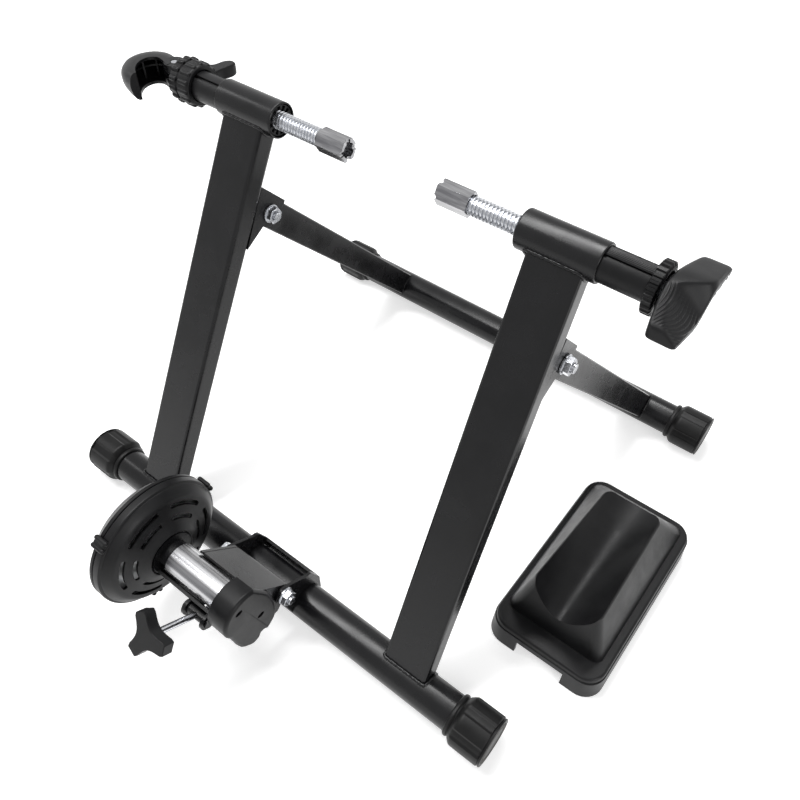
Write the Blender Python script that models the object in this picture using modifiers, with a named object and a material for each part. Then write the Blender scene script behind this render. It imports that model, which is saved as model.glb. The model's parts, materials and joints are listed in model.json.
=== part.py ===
"""Magnetic bike trainer with a fold-out rear stand and a front wheel riser block.

Metres, +Z up.  X runs along the bicycle's rear axle, +Y towards the bicycle's front wheel.
While it is built, y = 0 and x = 0 lie on the middle of the main floor tube, and z = 0 is the floor.
The last step moves everything so that the footprint's centre is the origin.
"""
import math

import bmesh
import bpy
from mathutils import Matrix, Vector

# Clearances
GAP = 0.0003
RUNNING_GAP = 0.0010

# Floor tubes and their end caps
AXIS_HEIGHT = 0.0222
TUBE_RADIUS = 0.0173
TUBE_WALL = 0.0016
MAIN_TUBE_HALF_LENGTH = 0.2460
REAR_TUBE_HALF_LENGTH = 0.2510
CAP_FLAT_DEPTH = 0.0006
CAP_RADIUS = AXIS_HEIGHT + CAP_FLAT_DEPTH
CAP_LENGTH = 0.0400
CAP_END_WALL = 0.0050
CAP_COLLAR_RADIUS = 0.0198
CAP_COLLAR_LENGTH = 0.0060
REAR_TUBE_Y = 0.4158

# Axle line, clamp barrels and uprights
AXLE_Y = 0.1846
AXLE_Z = 0.3717
BARREL_RADIUS = 0.0148
BARREL_BORE = 0.0131
BARREL_INNER_END = 0.1135
BARREL_LENGTH = 0.0628
UPRIGHT_WIDTH = 0.0440
UPRIGHT_DEPTH = 0.0200
UPRIGHT_WALL = 0.0015
UPRIGHT_FOOT_X = 0.1590
UPRIGHT_HEAD_X = 0.1460
CORNER_RADIUS = 0.0030

# Folding rear stand
PIVOT_Y = 0.1710
PIVOT_Z = 0.2850
LEG_WIDTH = 0.0340
LEG_DEPTH = 0.0270
LEG_WALL = 0.0015
LEG_FOOT_X = 0.1700
BRACKET_SHEET = 0.0025
BRACKET_SIDE_GAP = 0.0015
BRACKET_DROP = 0.0340
BRACKET_NOSE_RADIUS = 0.0135
PIVOT_BOLT_RADIUS = 0.0040
BOLT_HEAD_WIDTH = 0.0130
BOLT_HEAD_LENGTH = 0.0053
NUT_LENGTH = 0.0070
THREAD_STAND_OUT = 0.0030

# Axle clamps
CUP_WIDTH = 0.0170
CUP_LENGTH = 0.0270
CUP_MOUTH_RADIUS = 0.0062
CUP_MOUTH_DEPTH = 0.0120
CUP_NOTCH_RADIUS = 0.0022
CUP_LEFT_TIP = -0.0430
CUP_RIGHT_TIP = 0.0440
SCREW_RADIUS = 0.0074
SPIGOT_RADIUS = 0.0050
SPIGOT_LENGTH = 0.0080
SLEEVE_INNER_END = 0.1150
SLEEVE_WALL = 0.0045
RING_LEFT_START = -0.2050
RING_LEFT_LENGTH = 0.0230
RING_LEFT_RADIUS = 0.0195
RING_SCALLOP = 0.0012
RING_SCALLOPS = 12
WING_REACH = 0.0420
WING_HEIGHT = 0.0110
RING_RIGHT_START = 0.2100
RING_RIGHT_LENGTH = 0.0080
RING_RIGHT_RADIUS = 0.0190
LEVER_HEIGHT = 0.0240
LEVER_WALL = 0.0025
LEVER_INNER_EDGE = (
    (0.0000, -0.0080), (-0.0090, -0.0050), (-0.0170, -0.0040), (-0.0225, -0.0080),
    (-0.0240, -0.0140), (-0.0225, -0.0205), (-0.0185, -0.0265), (-0.0135, -0.0310),
    (-0.0095, -0.0335))
LEVER_OUTER_EDGE = (
    (0.0000, 0.0090), (-0.0110, 0.0140), (-0.0250, 0.0160), (-0.0385, 0.0105),
    (-0.0465, -0.0020), (-0.0465, -0.0165), (-0.0390, -0.0285), (-0.0270, -0.0365),
    (-0.0120, -0.0405))
LEVER_SWELL = ((0.0, 1.0), (0.42, 0.94), (0.76, 0.70), (0.95, 0.32))
LEVER_PIN_RADIUS = 0.0030
LEVER_HUB_RADIUS = 0.0090
EYE_THICKNESS = 0.0090
HANDLE_START = 0.2190
HANDLE_END = 0.2460
HANDLE_SCREW_DEPTH = 0.0180
HANDLE_STATIONS = (
    (0.0420, 0.0072, 0.0048, 0.0110), (0.0385, 0.0052, 0.0072, 0.0090),
    (0.0270, 0.0030, 0.0100, 0.0070), (0.0150, 0.0010, 0.0130, 0.0060),
    (0.0060, 0.0000, 0.0150, 0.0060))

# Resistance unit, hinged on the main tube
HINGE_Y = -0.0224
HINGE_Z = 0.0655
HINGE_BOLT_RADIUS = 0.0040
EAR_RADIUS = 0.0095
MOUNT_SHOULDER = (0.0060, 0.0475)
MOUNT_SHOULDER_RADIUS = 0.0090
MOUNT_BACK_Y = 0.0212
MOUNT_BACK_TOP = 0.0355
SHEET = 0.0030
FRAME_LEFT = -0.0267
FRAME_RIGHT = 0.0372
CHEEK_HINGE_RADIUS = 0.0090
CHEEK_RADIUS = 0.0205
WEB_DISTANCE = 0.0188
WEB_SHEET = 0.0018
STRIP_RADIUS = 0.0200
END_PLATE_RADIUS = 0.0207
STRIP_SHEET = 0.0025
ROLLER_Y = -0.0620
ROLLER_Z = 0.0935
ROLLER_RADIUS = 0.0152
ROLLER_LEFT = -0.0435
ROLLER_RIGHT = 0.0200
BEARING_RADIUS = 0.0110
BEARING_WIDTH = 0.0070
BOSS_RADIUS = 0.0140
SHAFT_RADIUS = 0.0040
HOUSING_RADIUS = 0.0630
HOUSING_HOLE_RADIUS = 0.0217
HOUSING_SLOPE = ((0.0235, 0.0000), (0.0300, 0.0035), (0.0420, 0.0075), (0.0530, 0.0095))
HOUSING_SHOULDER = 0.0045
HOUSING_BAND = 0.0060
HOUSING_WALL = 0.0022
HOUSING_FACE = -0.0520
HOUSING_SEAM = -0.0765
HOUSING_BACK = -0.0925
HOUSING_BACK_STEP = 0.0130
VENT_GROUPS = 6
VENT_FIRST_ANGLE = 18
VENT_RINGS = ((0.0288, 0.0324, 12), (0.0393, 0.0430, 14))
ROTOR_CLEARANCE = 0.0078
ROTOR_THICKNESS = 0.0060
ROTOR_HUB_RADIUS = 0.0110
ROTOR_HUB_LENGTH = 0.0080
MAGNET_SHEET = 0.0030
MAGNET_COUNT = 8
MAGNET_RADIUS = 0.0085
MAGNET_HEIGHT = 0.0040
MAGNET_EDGE = 0.0118
CLIP_ANGLES = (132, 12, 252)
CLIP_RADIUS = 0.0028
CLIP_BACK = 0.0060
CLIP_FRONT = 0.0090
CAP_SKIN = 0.0036
CAP_RIM_RADIUS = 0.0250
CAP_RIM_WALL = 0.0040
CAP_RIM_FIRST = 60
CAP_RIM_LAST = 214
CAP_RIM_BACK = 0.0190
CAP_HOLES = ((-0.0076, 0.0130), (0.0115, -0.0200))
CAP_TAIL = (
    (-0.0180, -0.0300), (-0.0145, -0.0420), (-0.0090, -0.0490), (-0.0030, -0.0540),
    (0.0050, -0.0530), (0.0080, -0.0490), (0.0120, -0.0500), (0.0150, -0.0530),
    (0.0250, -0.0460), (0.0275, -0.0380), (0.0285, -0.0200), (0.0250, -0.0020),
    (0.0180, 0.0120))
CHEEK_TAIL = (
    (-0.0135, -0.0370), (-0.0110, -0.0460), (-0.0040, -0.0510), (0.0070, -0.0515),
    (0.0320, -0.0495))
TENSION_X = 0.0035
TENSION_ROD_RADIUS = 0.0030
TENSION_BAR_Y = -0.0849
TENSION_BAR_Z = 0.0840
NUT_BAR_RADIUS = 0.0052
NUT_BAR_LENGTH = 0.0290
LUG_RADIUS = 0.0080
LUG_SPACING = 0.0190
PAD_LENGTH = 0.0090
PAD_RADIUS = 0.0050
PAD_FLOOR = 0.0020
TENSION_KNOB_DISTANCE = 0.0530
KNOB_THICKNESS = 0.0140
KNOB_LOBES = 3
KNOB_LOBE_SHAPE = (
    (0.0210, 0), (0.0216, 13), (0.0190, 19), (0.0150, 25), (0.0118, 35), (0.0103, 47),
    (0.0098, 60))
KNOB_FIRST_LOBE = math.radians(90)

# Front wheel riser block
RISER_X = 0.2425
RISER_Y = 0.1894
RISER_WIDTH = 0.1146
RISER_LENGTH = 0.2052
RISER_BASE_HEIGHT = 0.0300
RISER_BASE_TAPER = 0.0020
RISER_FRONT_HEIGHT = 0.0855
RISER_BACK_HEIGHT = 0.0680
RISER_CORNER = 0.0190
RISER_WALL = 0.0030
RISER_DOME_SHIFT = -0.0014
RISER_DOME_CORNER = 0.0090
RISER_DOME_EASE = 0.0020
RISER_SIDE_SHELF = 0.0092
RISER_FRONT_SHELF = 0.0216
RISER_BACK_SHELF = 0.0086
RISER_TOP_FRONT_WIDTH = 0.0670
RISER_TOP_BACK_WIDTH = 0.0600
RISER_FRONT_SLOPE = 0.12
RISER_BACK_SLOPE = 0.74
RISER_TROUGH_FRONT = (0.0322, 0.0300)
RISER_TROUGH_BACK = (0.0272, 0.0040)
RISER_HOLLOW_HEIGHT = 0.0515
RISER_NOTCH_WIDTH = 0.0480
RISER_NOTCH_HEIGHT = 0.0180

MAIN_AXIS = Vector((0, 0, AXIS_HEIGHT))
REAR_AXIS = Vector((0, REAR_TUBE_Y, AXIS_HEIGHT))
AXLE = Vector((0, AXLE_Y, AXLE_Z))
PIVOT = Vector((0, PIVOT_Y, PIVOT_Z))
HINGE = Vector((0, HINGE_Y, HINGE_Z))
ROLLER_AXIS = Vector((0, ROLLER_Y, ROLLER_Z))
TENSION_BAR = Vector((TENSION_X, TENSION_BAR_Y, TENSION_BAR_Z))
TO_TUBE = (MAIN_AXIS + Vector((TENSION_X, 0, 0)) - TENSION_BAR).normalized()
ALONG_X = Vector((1, 0, 0))

UP_ALONG = (AXLE - MAIN_AXIS).normalized()
BEHIND = Vector((0, UP_ALONG.z, -UP_ALONG.y))
LEG_ALONG = (REAR_AXIS - PIVOT).normalized()
LEG_ABOVE = Vector((0, -LEG_ALONG.z, LEG_ALONG.y))


def upright_x(point):
    """Distance of an upright's middle from the centre plane, beside a point of the side view."""
    share = (point - MAIN_AXIS).dot(UP_ALONG) / (AXLE - MAIN_AXIS).length
    return UPRIGHT_FOOT_X + share * (UPRIGHT_HEAD_X - UPRIGHT_FOOT_X)


PIVOT_X = upright_x(PIVOT)


# Scene, collections and materials

def empty_scene():
    for obj in list(bpy.data.objects):
        bpy.data.objects.remove(obj, do_unlink=True)
    for collection in list(bpy.data.collections):
        bpy.data.collections.remove(collection)


def new_collection(name):
    collection = bpy.data.collections.new(name)
    bpy.context.scene.collection.children.link(collection)
    return collection


def finish(name, colour, roughness, metallic):
    material = bpy.data.materials.new(name)
    material.use_nodes = True
    shader = material.node_tree.nodes["Principled BSDF"]
    shader.inputs["Base Color"].default_value = (*colour, 1.0)
    shader.inputs["Roughness"].default_value = roughness
    shader.inputs["Metallic"].default_value = metallic
    return material


empty_scene()
PARTS = new_collection("magnetic_bike_trainer")
CUTTERS = new_collection("cutters")
TRAINER = bpy.data.objects.new("trainer", None)
PARTS.objects.link(TRAINER)

BLACK_PAINT = dict(colour=(0.012, 0.012, 0.013), roughness=0.42, metallic=0.0)
BLACK_PLASTIC = dict(colour=(0.018, 0.018, 0.019), roughness=0.55, metallic=0.0)
BLACK_RUBBER = dict(colour=(0.014, 0.014, 0.014), roughness=0.75, metallic=0.0)
ZINC = dict(colour=(0.62, 0.64, 0.66), roughness=0.30, metallic=1.0)
CHROME = dict(colour=(0.78, 0.78, 0.79), roughness=0.10, metallic=1.0)
STEEL = dict(colour=(0.60, 0.60, 0.61), roughness=0.25, metallic=1.0)
ALUMINIUM = dict(colour=(0.70, 0.71, 0.72), roughness=0.35, metallic=1.0)


# Shapes

def rod(start, end, radius, segments=24, end_radius=None):
    """Solid cylinder or cone between two points."""
    shape = bmesh.new()
    start = Vector(start)
    end = Vector(end)
    last_radius = radius if end_radius is None else end_radius
    bmesh.ops.create_cone(
        shape, cap_ends=True, segments=segments, radius1=radius, radius2=last_radius,
        depth=(end - start).length)
    turn = Vector((0, 0, 1)).rotation_difference(end - start).to_matrix().to_4x4()
    bmesh.ops.transform(shape, matrix=Matrix.Translation((start + end) / 2) @ turn, verts=shape.verts)
    return shape


def block(low, high):
    """Box between two opposite corners."""
    shape = bmesh.new()
    low = Vector(low)
    high = Vector(high)
    bmesh.ops.create_cube(shape, size=1.0)
    bmesh.ops.scale(shape, vec=high - low, verts=shape.verts)
    bmesh.ops.translate(shape, vec=(low + high) / 2, verts=shape.verts)
    return shape


def plate(outlines, low, high, normal="X"):
    """Flat outlines, the first one outside, the others holes, made into a plate across an axis.

    The outlines' two numbers are (y, z) across X, (z, x) across Y and (x, y) across Z.
    """
    curve = bpy.data.curves.new("outline", "CURVE")
    curve.dimensions = "2D"
    curve.fill_mode = "BOTH"
    curve.extrude = (high - low) / 2
    for outline in outlines:
        spline = curve.splines.new("POLY")
        spline.points.add(len(outline) - 1)
        for point, place in zip(spline.points, outline):
            point.co = (place[0], place[1], 0, 1)
        spline.use_cyclic_u = True
    holder = bpy.data.objects.new("outline", curve)
    CUTTERS.objects.link(holder)
    seen = holder.evaluated_get(bpy.context.evaluated_depsgraph_get())
    mesh = bpy.data.meshes.new_from_object(seen)
    shape = bmesh.new()
    shape.from_mesh(mesh)
    bpy.data.objects.remove(holder)
    bpy.data.meshes.remove(mesh)
    bmesh.ops.remove_doubles(shape, verts=shape.verts, dist=0.00001)
    bmesh.ops.translate(shape, vec=(0, 0, (low + high) / 2), verts=shape.verts)
    turns = {"X": ((0, 0, 1), (1, 0, 0), (0, 1, 0)), "Y": ((0, 1, 0), (0, 0, 1), (1, 0, 0))}
    if normal in turns:
        bmesh.ops.transform(shape, matrix=Matrix(turns[normal]).to_4x4(), verts=shape.verts)
    bmesh.ops.recalc_face_normals(shape, faces=shape.faces)
    return shape


def turned(profile, centre, segments=32):
    """Turn a profile of (radius, x) points about an X axis through a centre.

    The profile starts at its highest x.  A profile that never touches the axis closes itself.
    """
    mesh = bpy.data.meshes.new("profile")
    edges = [(index, index + 1) for index in range(len(profile) - 1)]
    if min(radius for radius, _ in profile) > 0:
        edges.append((len(profile) - 1, 0))
    mesh.from_pydata([(radius, 0, height) for radius, height in profile], edges, [])
    holder = bpy.data.objects.new("profile", mesh)
    CUTTERS.objects.link(holder)
    screw = holder.modifiers.new("turn", "SCREW")
    screw.steps = segments
    screw.render_steps = segments
    screw.use_merge_vertices = True
    screw.merge_threshold = 0.00001
    seen = holder.evaluated_get(bpy.context.evaluated_depsgraph_get())
    settled = bpy.data.meshes.new_from_object(seen)
    shape = bmesh.new()
    shape.from_mesh(settled)
    bpy.data.objects.remove(holder)
    bpy.data.meshes.remove(settled)
    bmesh.ops.remove_doubles(shape, verts=shape.verts, dist=0.00001)
    turn = Matrix.Translation((0, centre.y, centre.z)) @ Matrix.Rotation(math.pi / 2, 4, "Y")
    bmesh.ops.transform(shape, matrix=turn, verts=shape.verts)
    bmesh.ops.recalc_face_normals(shape, faces=shape.faces)
    return shape


def skinned(rings, flat=True):
    """Closed shape over rings that all have the same number of points, flat at both ends."""
    shape = bmesh.new()
    made = [[shape.verts.new(point) for point in ring] for ring in rings]
    for first, second in zip(made, made[1:]):
        for index in range(len(first)):
            after = (index + 1) % len(first)
            shape.faces.new((first[index], first[after], second[after], second[index]))
    shape.faces.new(reversed(made[0]))
    shape.faces.new(made[-1])
    if not flat:
        bmesh.ops.triangulate(shape, faces=shape.faces)
    bmesh.ops.recalc_face_normals(shape, faces=shape.faces)
    return shape


def arc(centre, radius, first, last, steps):
    """Points of an arc in a flat outline, angles in degrees."""
    points = []
    for step in range(steps + 1):
        angle = math.radians(first + (last - first) * step / steps)
        points.append((centre[0] + radius * math.cos(angle), centre[1] + radius * math.sin(angle)))
    return points


def star(lobes, first_angle, half_lobe):
    """Outline of equal lobes, each given as (radius, degrees) from its middle to the valley."""
    points = []
    for lobe in range(lobes):
        middle = first_angle + 2 * math.pi * lobe / lobes
        there = [(radius, middle - math.radians(angle)) for radius, angle in reversed(half_lobe)]
        back = [(radius, middle + math.radians(angle)) for radius, angle in half_lobe[1:-1]]
        points += [
            (radius * math.cos(angle), radius * math.sin(angle)) for radius, angle in there + back]
    return points


def lobed(centre, mean_radius, swing, lobes, first_angle, steps):
    """Closed outline whose radius rises and falls evenly around its centre."""
    points = []
    for step in range(steps):
        angle = 2 * math.pi * step / steps
        radius = mean_radius + swing * math.cos(lobes * (angle - first_angle))
        points.append((centre[0] + radius * math.cos(angle), centre[1] + radius * math.sin(angle)))
    return points


def side(point):
    """The (y, z) of a point."""
    return (point.y, point.z)


def soften(shape, radius, keep, segments=2):
    """Round the edges that a test keeps."""
    edges = [edge for edge in shape.edges if keep(edge)]
    bmesh.ops.bevel(
        shape, geom=edges, offset=radius, segments=segments, profile=0.5, affect="EDGES",
        clamp_overlap=True)
    return shape


def rim_edge(edge):
    """True on the sharp rim between a plate's outline and its two X faces."""
    facing = [abs(face.normal.x) > 0.9 for face in edge.link_faces]
    return len(facing) == 2 and facing[0] != facing[1]


def lean(shape, start, along, slope):
    """Shift a shape along X in proportion to its distance along a direction."""
    for vert in shape.verts:
        vert.co.x += slope * (vert.co - start).dot(along)
    return shape


# Objects

def add_part(name, shape, look, origin=(0, 0, 0), sharp=35):
    """Make one sub-part from a shape that is modelled in place."""
    origin = Vector(origin)
    mesh = bpy.data.meshes.new(name)
    shape.to_mesh(mesh)
    shape.free()
    mesh.transform(Matrix.Translation(-origin))
    mesh.shade_smooth()
    mesh.set_sharp_from_angle(angle=math.radians(sharp))
    mesh.materials.append(finish(name, **look))
    part = bpy.data.objects.new(name, mesh)
    part.location = origin
    part.parent = TRAINER
    PARTS.objects.link(part)
    return part


def combine(part, shape, operation):
    """Cut a part with a shape, or join the shape to it."""
    mesh = bpy.data.meshes.new(part.name + "_" + operation.lower())
    shape.to_mesh(mesh)
    shape.free()
    tool = bpy.data.objects.new(mesh.name, mesh)
    tool.hide_render = True
    tool.display_type = "WIRE"
    tool.parent = TRAINER
    CUTTERS.objects.link(tool)
    modifier = part.modifiers.new(operation.lower(), "BOOLEAN")
    modifier.operation = operation
    modifier.solver = "EXACT"
    modifier.object = tool


def cut(part, shape):
    combine(part, shape, "DIFFERENCE")


def join(part, shape):
    combine(part, shape, "UNION")


def hexagon(start, end, width):
    """Hexagonal bar between two points, width measured across its flats."""
    return rod(start, end, width / 2 / math.cos(math.pi / 6), segments=6)


# Floor tubes and their caps

def floor_tube(name, axis, half_length):
    bore = TUBE_RADIUS - TUBE_WALL
    tube = [(TUBE_RADIUS, half_length), (TUBE_RADIUS, -half_length), (bore, -half_length),
            (bore, half_length)]
    return add_part(name, turned(tube, axis), BLACK_PAINT)


def foot_cap(name, axis, hand, half_length):
    """Moulded cap over a tube's end, with a flat that rests on the floor."""
    outward = ALONG_X * hand
    tube_end = axis + outward * (half_length + GAP)
    outer_end = tube_end + outward * CAP_END_WALL
    inner_end = outer_end - outward * CAP_LENGTH
    collar_end = inner_end + outward * CAP_COLLAR_LENGTH
    cap = add_part(name, rod(collar_end, outer_end, CAP_RADIUS, segments=40), BLACK_RUBBER)
    join(cap, rod(inner_end, collar_end + outward * GAP, CAP_COLLAR_RADIUS, segments=40))
    cut(cap, rod(
        inner_end - outward * CAP_COLLAR_LENGTH, tube_end, TUBE_RADIUS + GAP, segments=32))
    reach = 2 * CAP_RADIUS
    middle = (inner_end + outer_end) / 2
    low = (middle.x - reach, axis.y - reach, -reach)
    high = (middle.x + reach, axis.y + reach, 0)
    cut(cap, block(low, high))
    return cap


# Uprights, barrels and hinge brackets

def upright(name, hand):
    """Rectangular tube, coped onto the floor tube and the clamp barrel."""
    half = BEHIND * (UPRIGHT_DEPTH / 2)
    length = (AXLE - MAIN_AXIS).length
    corners = [
        side(MAIN_AXIS + half), side(MAIN_AXIS + UP_ALONG * length + half),
        side(MAIN_AXIS + UP_ALONG * length - half), side(MAIN_AXIS - half)]
    slope = hand * (UPRIGHT_HEAD_X - UPRIGHT_FOOT_X) / length
    middle = hand * UPRIGHT_FOOT_X
    shape = plate([corners], middle - UPRIGHT_WIDTH / 2, middle + UPRIGHT_WIDTH / 2)

    def long_edge(edge):
        first, last = edge.verts
        return rim_edge(edge) and (first.co - last.co).length > length * 0.5

    soften(shape, CORNER_RADIUS, long_edge)
    part = add_part(name, lean(shape, MAIN_AXIS, UP_ALONG, slope), BLACK_PAINT)
    inset = BEHIND * (UPRIGHT_DEPTH / 2 - UPRIGHT_WALL)
    beyond = UP_ALONG * UPRIGHT_DEPTH
    foot_end = MAIN_AXIS - beyond
    head_end = AXLE + beyond
    hollow = [
        side(foot_end + inset), side(head_end + inset), side(head_end - inset),
        side(foot_end - inset)]
    half_width = UPRIGHT_WIDTH / 2 - UPRIGHT_WALL
    core = plate([hollow], middle - half_width, middle + half_width)
    cut(part, lean(core, MAIN_AXIS, UP_ALONG, slope))
    reach = ALONG_X * UPRIGHT_WIDTH
    foot = MAIN_AXIS + ALONG_X * middle
    head = AXLE + ALONG_X * hand * UPRIGHT_HEAD_X
    cut(part, rod(foot - reach, foot + reach, TUBE_RADIUS + GAP, segments=32))
    cut(part, rod(head - reach, head + reach, BARREL_RADIUS + GAP, segments=32))
    return part


def barrel(name, hand):
    """Tube across an upright's head that guides one axle clamp."""
    ends = sorted((hand * BARREL_INNER_END, hand * (BARREL_INNER_END + BARREL_LENGTH)))
    profile = [
        (BARREL_RADIUS, ends[1]), (BARREL_RADIUS, ends[0]),
        (BARREL_BORE, ends[0]), (BARREL_BORE, ends[1])]
    return add_part(name, turned(profile, AXLE), BLACK_PAINT)


def bracket_place(back, up):
    """Side-view point measured from the pivot, back from the upright and up along it."""
    return side(PIVOT + BEHIND * back + UP_ALONG * up)


def hinge_bracket(name, hand):
    """U-shaped bracket behind an upright, with a lip that stops the leg when it is open."""
    face = (UPRIGHT_DEPTH / 2 + GAP) - (PIVOT - MAIN_AXIS).dot(BEHIND)
    lip_low = LEG_DEPTH / 2 + GAP
    lip_high = lip_low + BRACKET_SHEET
    tilt = LEG_ALONG.dot(UP_ALONG) / LEG_ALONG.dot(BEHIND)
    steep = math.sqrt(1 + tilt * tilt)

    def above_leg(back, offset):
        return back * tilt + offset * steep

    nose = BRACKET_NOSE_RADIUS
    outer = [bracket_place(face, above_leg(face, lip_high)), bracket_place(face, -BRACKET_DROP)]
    for back, up in arc((0, 0), nose, -110, 10, 8):
        outer.append(bracket_place(back, up))
    outer.append(bracket_place(nose * 1.2, above_leg(nose * 1.2, lip_low)))
    outer.append(bracket_place(nose * 1.2, above_leg(nose * 1.2, lip_high)))
    half_width = LEG_WIDTH / 2 + BRACKET_SIDE_GAP + BRACKET_SHEET
    middle = hand * PIVOT_X
    part = add_part(
        name, plate([outer], middle - half_width, middle + half_width), BLACK_PAINT)
    web = face + BRACKET_SHEET
    far = 4 * nose
    inner = [
        bracket_place(web, above_leg(web, lip_low)), bracket_place(web, -2 * BRACKET_DROP),
        bracket_place(far, -2 * BRACKET_DROP), bracket_place(far, above_leg(far, lip_low))]
    inside = half_width - BRACKET_SHEET
    cut(part, plate([inner], middle - inside, middle + inside))
    pivot = PIVOT + ALONG_X * middle
    reach = ALONG_X * 2 * half_width
    cut(part, rod(pivot - reach, pivot + reach, PIVOT_BOLT_RADIUS + GAP, segments=20))
    return part


def bolt_and_nut(prefix, centre, low, high, radius):
    """Hexagon bolt from low to high along X, its head at low and its flanged nut at high."""
    head = centre + ALONG_X * (low - GAP)
    tip = centre + ALONG_X * (high + NUT_LENGTH + THREAD_STAND_OUT)
    bolt = add_part(
        prefix + "_bolt", hexagon(head - ALONG_X * BOLT_HEAD_LENGTH, head, BOLT_HEAD_WIDTH), ZINC)
    join(bolt, rod(head - ALONG_X * (BOLT_HEAD_LENGTH / 2), tip, radius, segments=20))
    seat = centre + ALONG_X * (high + GAP)
    nut = add_part(
        prefix + "_nut", hexagon(seat, seat + ALONG_X * NUT_LENGTH, BOLT_HEAD_WIDTH), ZINC)
    flange_end = seat + ALONG_X * (NUT_LENGTH / 4)
    join(nut, rod(seat, flange_end, BOLT_HEAD_WIDTH * 0.65, segments=24))
    reach = ALONG_X * NUT_LENGTH
    cut(nut, rod(seat - reach, seat + 2 * reach, radius + GAP, segments=20))


# Folding rear stand

def leg(name, hand):
    """Rectangular tube from the pivot to the rear floor tube, leaning outwards."""
    half = LEG_DEPTH / 2
    length = (REAR_AXIS - PIVOT).length
    outline = [side(PIVOT + LEG_ALONG * length + LEG_ABOVE * half)]
    for step in range(9):
        angle = math.pi * step / 8
        outline.append(side(
            PIVOT - LEG_ALONG * half * math.sin(angle) + LEG_ABOVE * half * math.cos(angle)))
    outline.append(side(PIVOT + LEG_ALONG * length - LEG_ABOVE * half))
    middle = hand * PIVOT_X
    slope = hand * (LEG_FOOT_X - PIVOT_X) / length
    shape = plate([outline], middle - LEG_WIDTH / 2, middle + LEG_WIDTH / 2)
    soften(shape, CORNER_RADIUS * 0.8, rim_edge, segments=1)
    part = add_part(name, lean(shape, PIVOT, LEG_ALONG, slope), BLACK_PAINT)
    inset = half - LEG_WALL
    start = PIVOT + LEG_ALONG * LEG_DEPTH
    end = REAR_AXIS + LEG_ALONG * LEG_DEPTH
    hollow = [
        side(start + LEG_ABOVE * inset), side(end + LEG_ABOVE * inset),
        side(end - LEG_ABOVE * inset), side(start - LEG_ABOVE * inset)]
    half_width = LEG_WIDTH / 2 - LEG_WALL
    core = plate([hollow], middle - half_width, middle + half_width)
    cut(part, lean(core, PIVOT, LEG_ALONG, slope))
    reach = ALONG_X * LEG_WIDTH
    foot = REAR_AXIS + ALONG_X * hand * LEG_FOOT_X
    cut(part, rod(foot - reach, foot + reach, TUBE_RADIUS + GAP, segments=32))
    pivot = PIVOT + ALONG_X * middle
    cut(part, rod(pivot - reach, pivot + reach, PIVOT_BOLT_RADIUS + GAP, segments=20))
    return part


# Axle clamps

def axle_cup(name, tip, hand):
    """Hexagonal cup with a notched mouth that grips the axle's nut."""
    mouth = AXLE + ALONG_X * tip
    back = mouth + ALONG_X * hand * CUP_LENGTH
    part = add_part(name, hexagon(mouth, back, CUP_WIDTH), CHROME, origin=mouth)
    outside = ALONG_X * hand * CUP_NOTCH_RADIUS
    cut(part, rod(
        mouth - outside, mouth + ALONG_X * hand * CUP_MOUTH_DEPTH, CUP_MOUTH_RADIUS, segments=20))
    for across in (Vector((0, 0, CUP_WIDTH)), Vector((0, CUP_WIDTH, 0))):
        cut(part, rod(mouth - across, mouth + across, CUP_NOTCH_RADIUS, segments=12))
    socket = back - ALONG_X * hand * (SPIGOT_LENGTH + GAP)
    cut(part, rod(socket, back + outside, SPIGOT_RADIUS + GAP, segments=20))
    return back


def clamp_screw(name, cup_back, end_x, hand, origin):
    """Coarse screw behind a cup, with a spigot that seats in the cup."""
    shoulder = cup_back + ALONG_X * hand * GAP
    end = AXLE + ALONG_X * end_x
    part = add_part(name, rod(shoulder, end, SCREW_RADIUS), ZINC, origin=origin)
    spigot_tip = cup_back - ALONG_X * hand * SPIGOT_LENGTH
    join(part, rod(spigot_tip, shoulder + ALONG_X * hand * GAP, SPIGOT_RADIUS, segments=20))
    return part


def sleeve(name, start, end):
    """Plastic bush between a barrel and its screw."""
    low, high = sorted((start, end))
    outer = BARREL_BORE - GAP
    bore = outer - SLEEVE_WALL
    profile = [(outer, high), (outer, low), (bore, low), (bore, high)]
    return add_part(name, turned(profile, AXLE, 24), BLACK_PLASTIC)


def left_ring():
    """Scalloped ring nut with one long wing."""
    start = RING_LEFT_START
    end = RING_LEFT_START - RING_LEFT_LENGTH
    outline = lobed(
        side(AXLE), RING_LEFT_RADIUS - RING_SCALLOP, RING_SCALLOP, RING_SCALLOPS, 0, 48)
    part = add_part("left_ring_nut", plate([outline], end, start), BLACK_PLASTIC, origin=AXLE)
    root = RING_LEFT_RADIUS * 0.8
    tip_radius = 0.0070
    tip = (start - tip_radius + 0.002, AXLE_Y + WING_REACH - tip_radius)
    wing = [(end + 0.001, AXLE_Y + root), (start - 0.002, AXLE_Y + root)]
    wing += arc(tip, tip_radius, 0, 150, 6)
    join(part, plate([wing], AXLE_Z - WING_HEIGHT / 2, AXLE_Z + WING_HEIGHT / 2, normal="Z"))
    bore = BARREL_BORE
    cut(part, rod(
        AXLE + ALONG_X * (end - 0.01), AXLE + ALONG_X * (start + 0.01), bore, segments=32))
    return part


def lever_rings(pin, inset, opening):
    """Sections of the cam lever from its hub to its tip, thick inside and thin outside."""
    rings = []
    for inner, outer in zip(LEVER_INNER_EDGE, LEVER_OUTER_EDGE):
        inner = Vector((*inner, 0))
        outer = Vector((*outer, 0))
        across = (outer - inner).normalized()
        half = LEVER_HEIGHT / 2 - inset
        depth = (outer - inner).length - inset
        places = [(depth * share, half * swell) for share, swell in LEVER_SWELL]
        if opening:
            places = [(-opening, half)] + places[1:]
        upper = [inner + across * along + Vector((0, 0, rise)) for along, rise in places]
        lower = [inner + across * along - Vector((0, 0, rise)) for along, rise in places]
        rings.append([pin + point for point in upper + list(reversed(lower))])
    return rings


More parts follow.
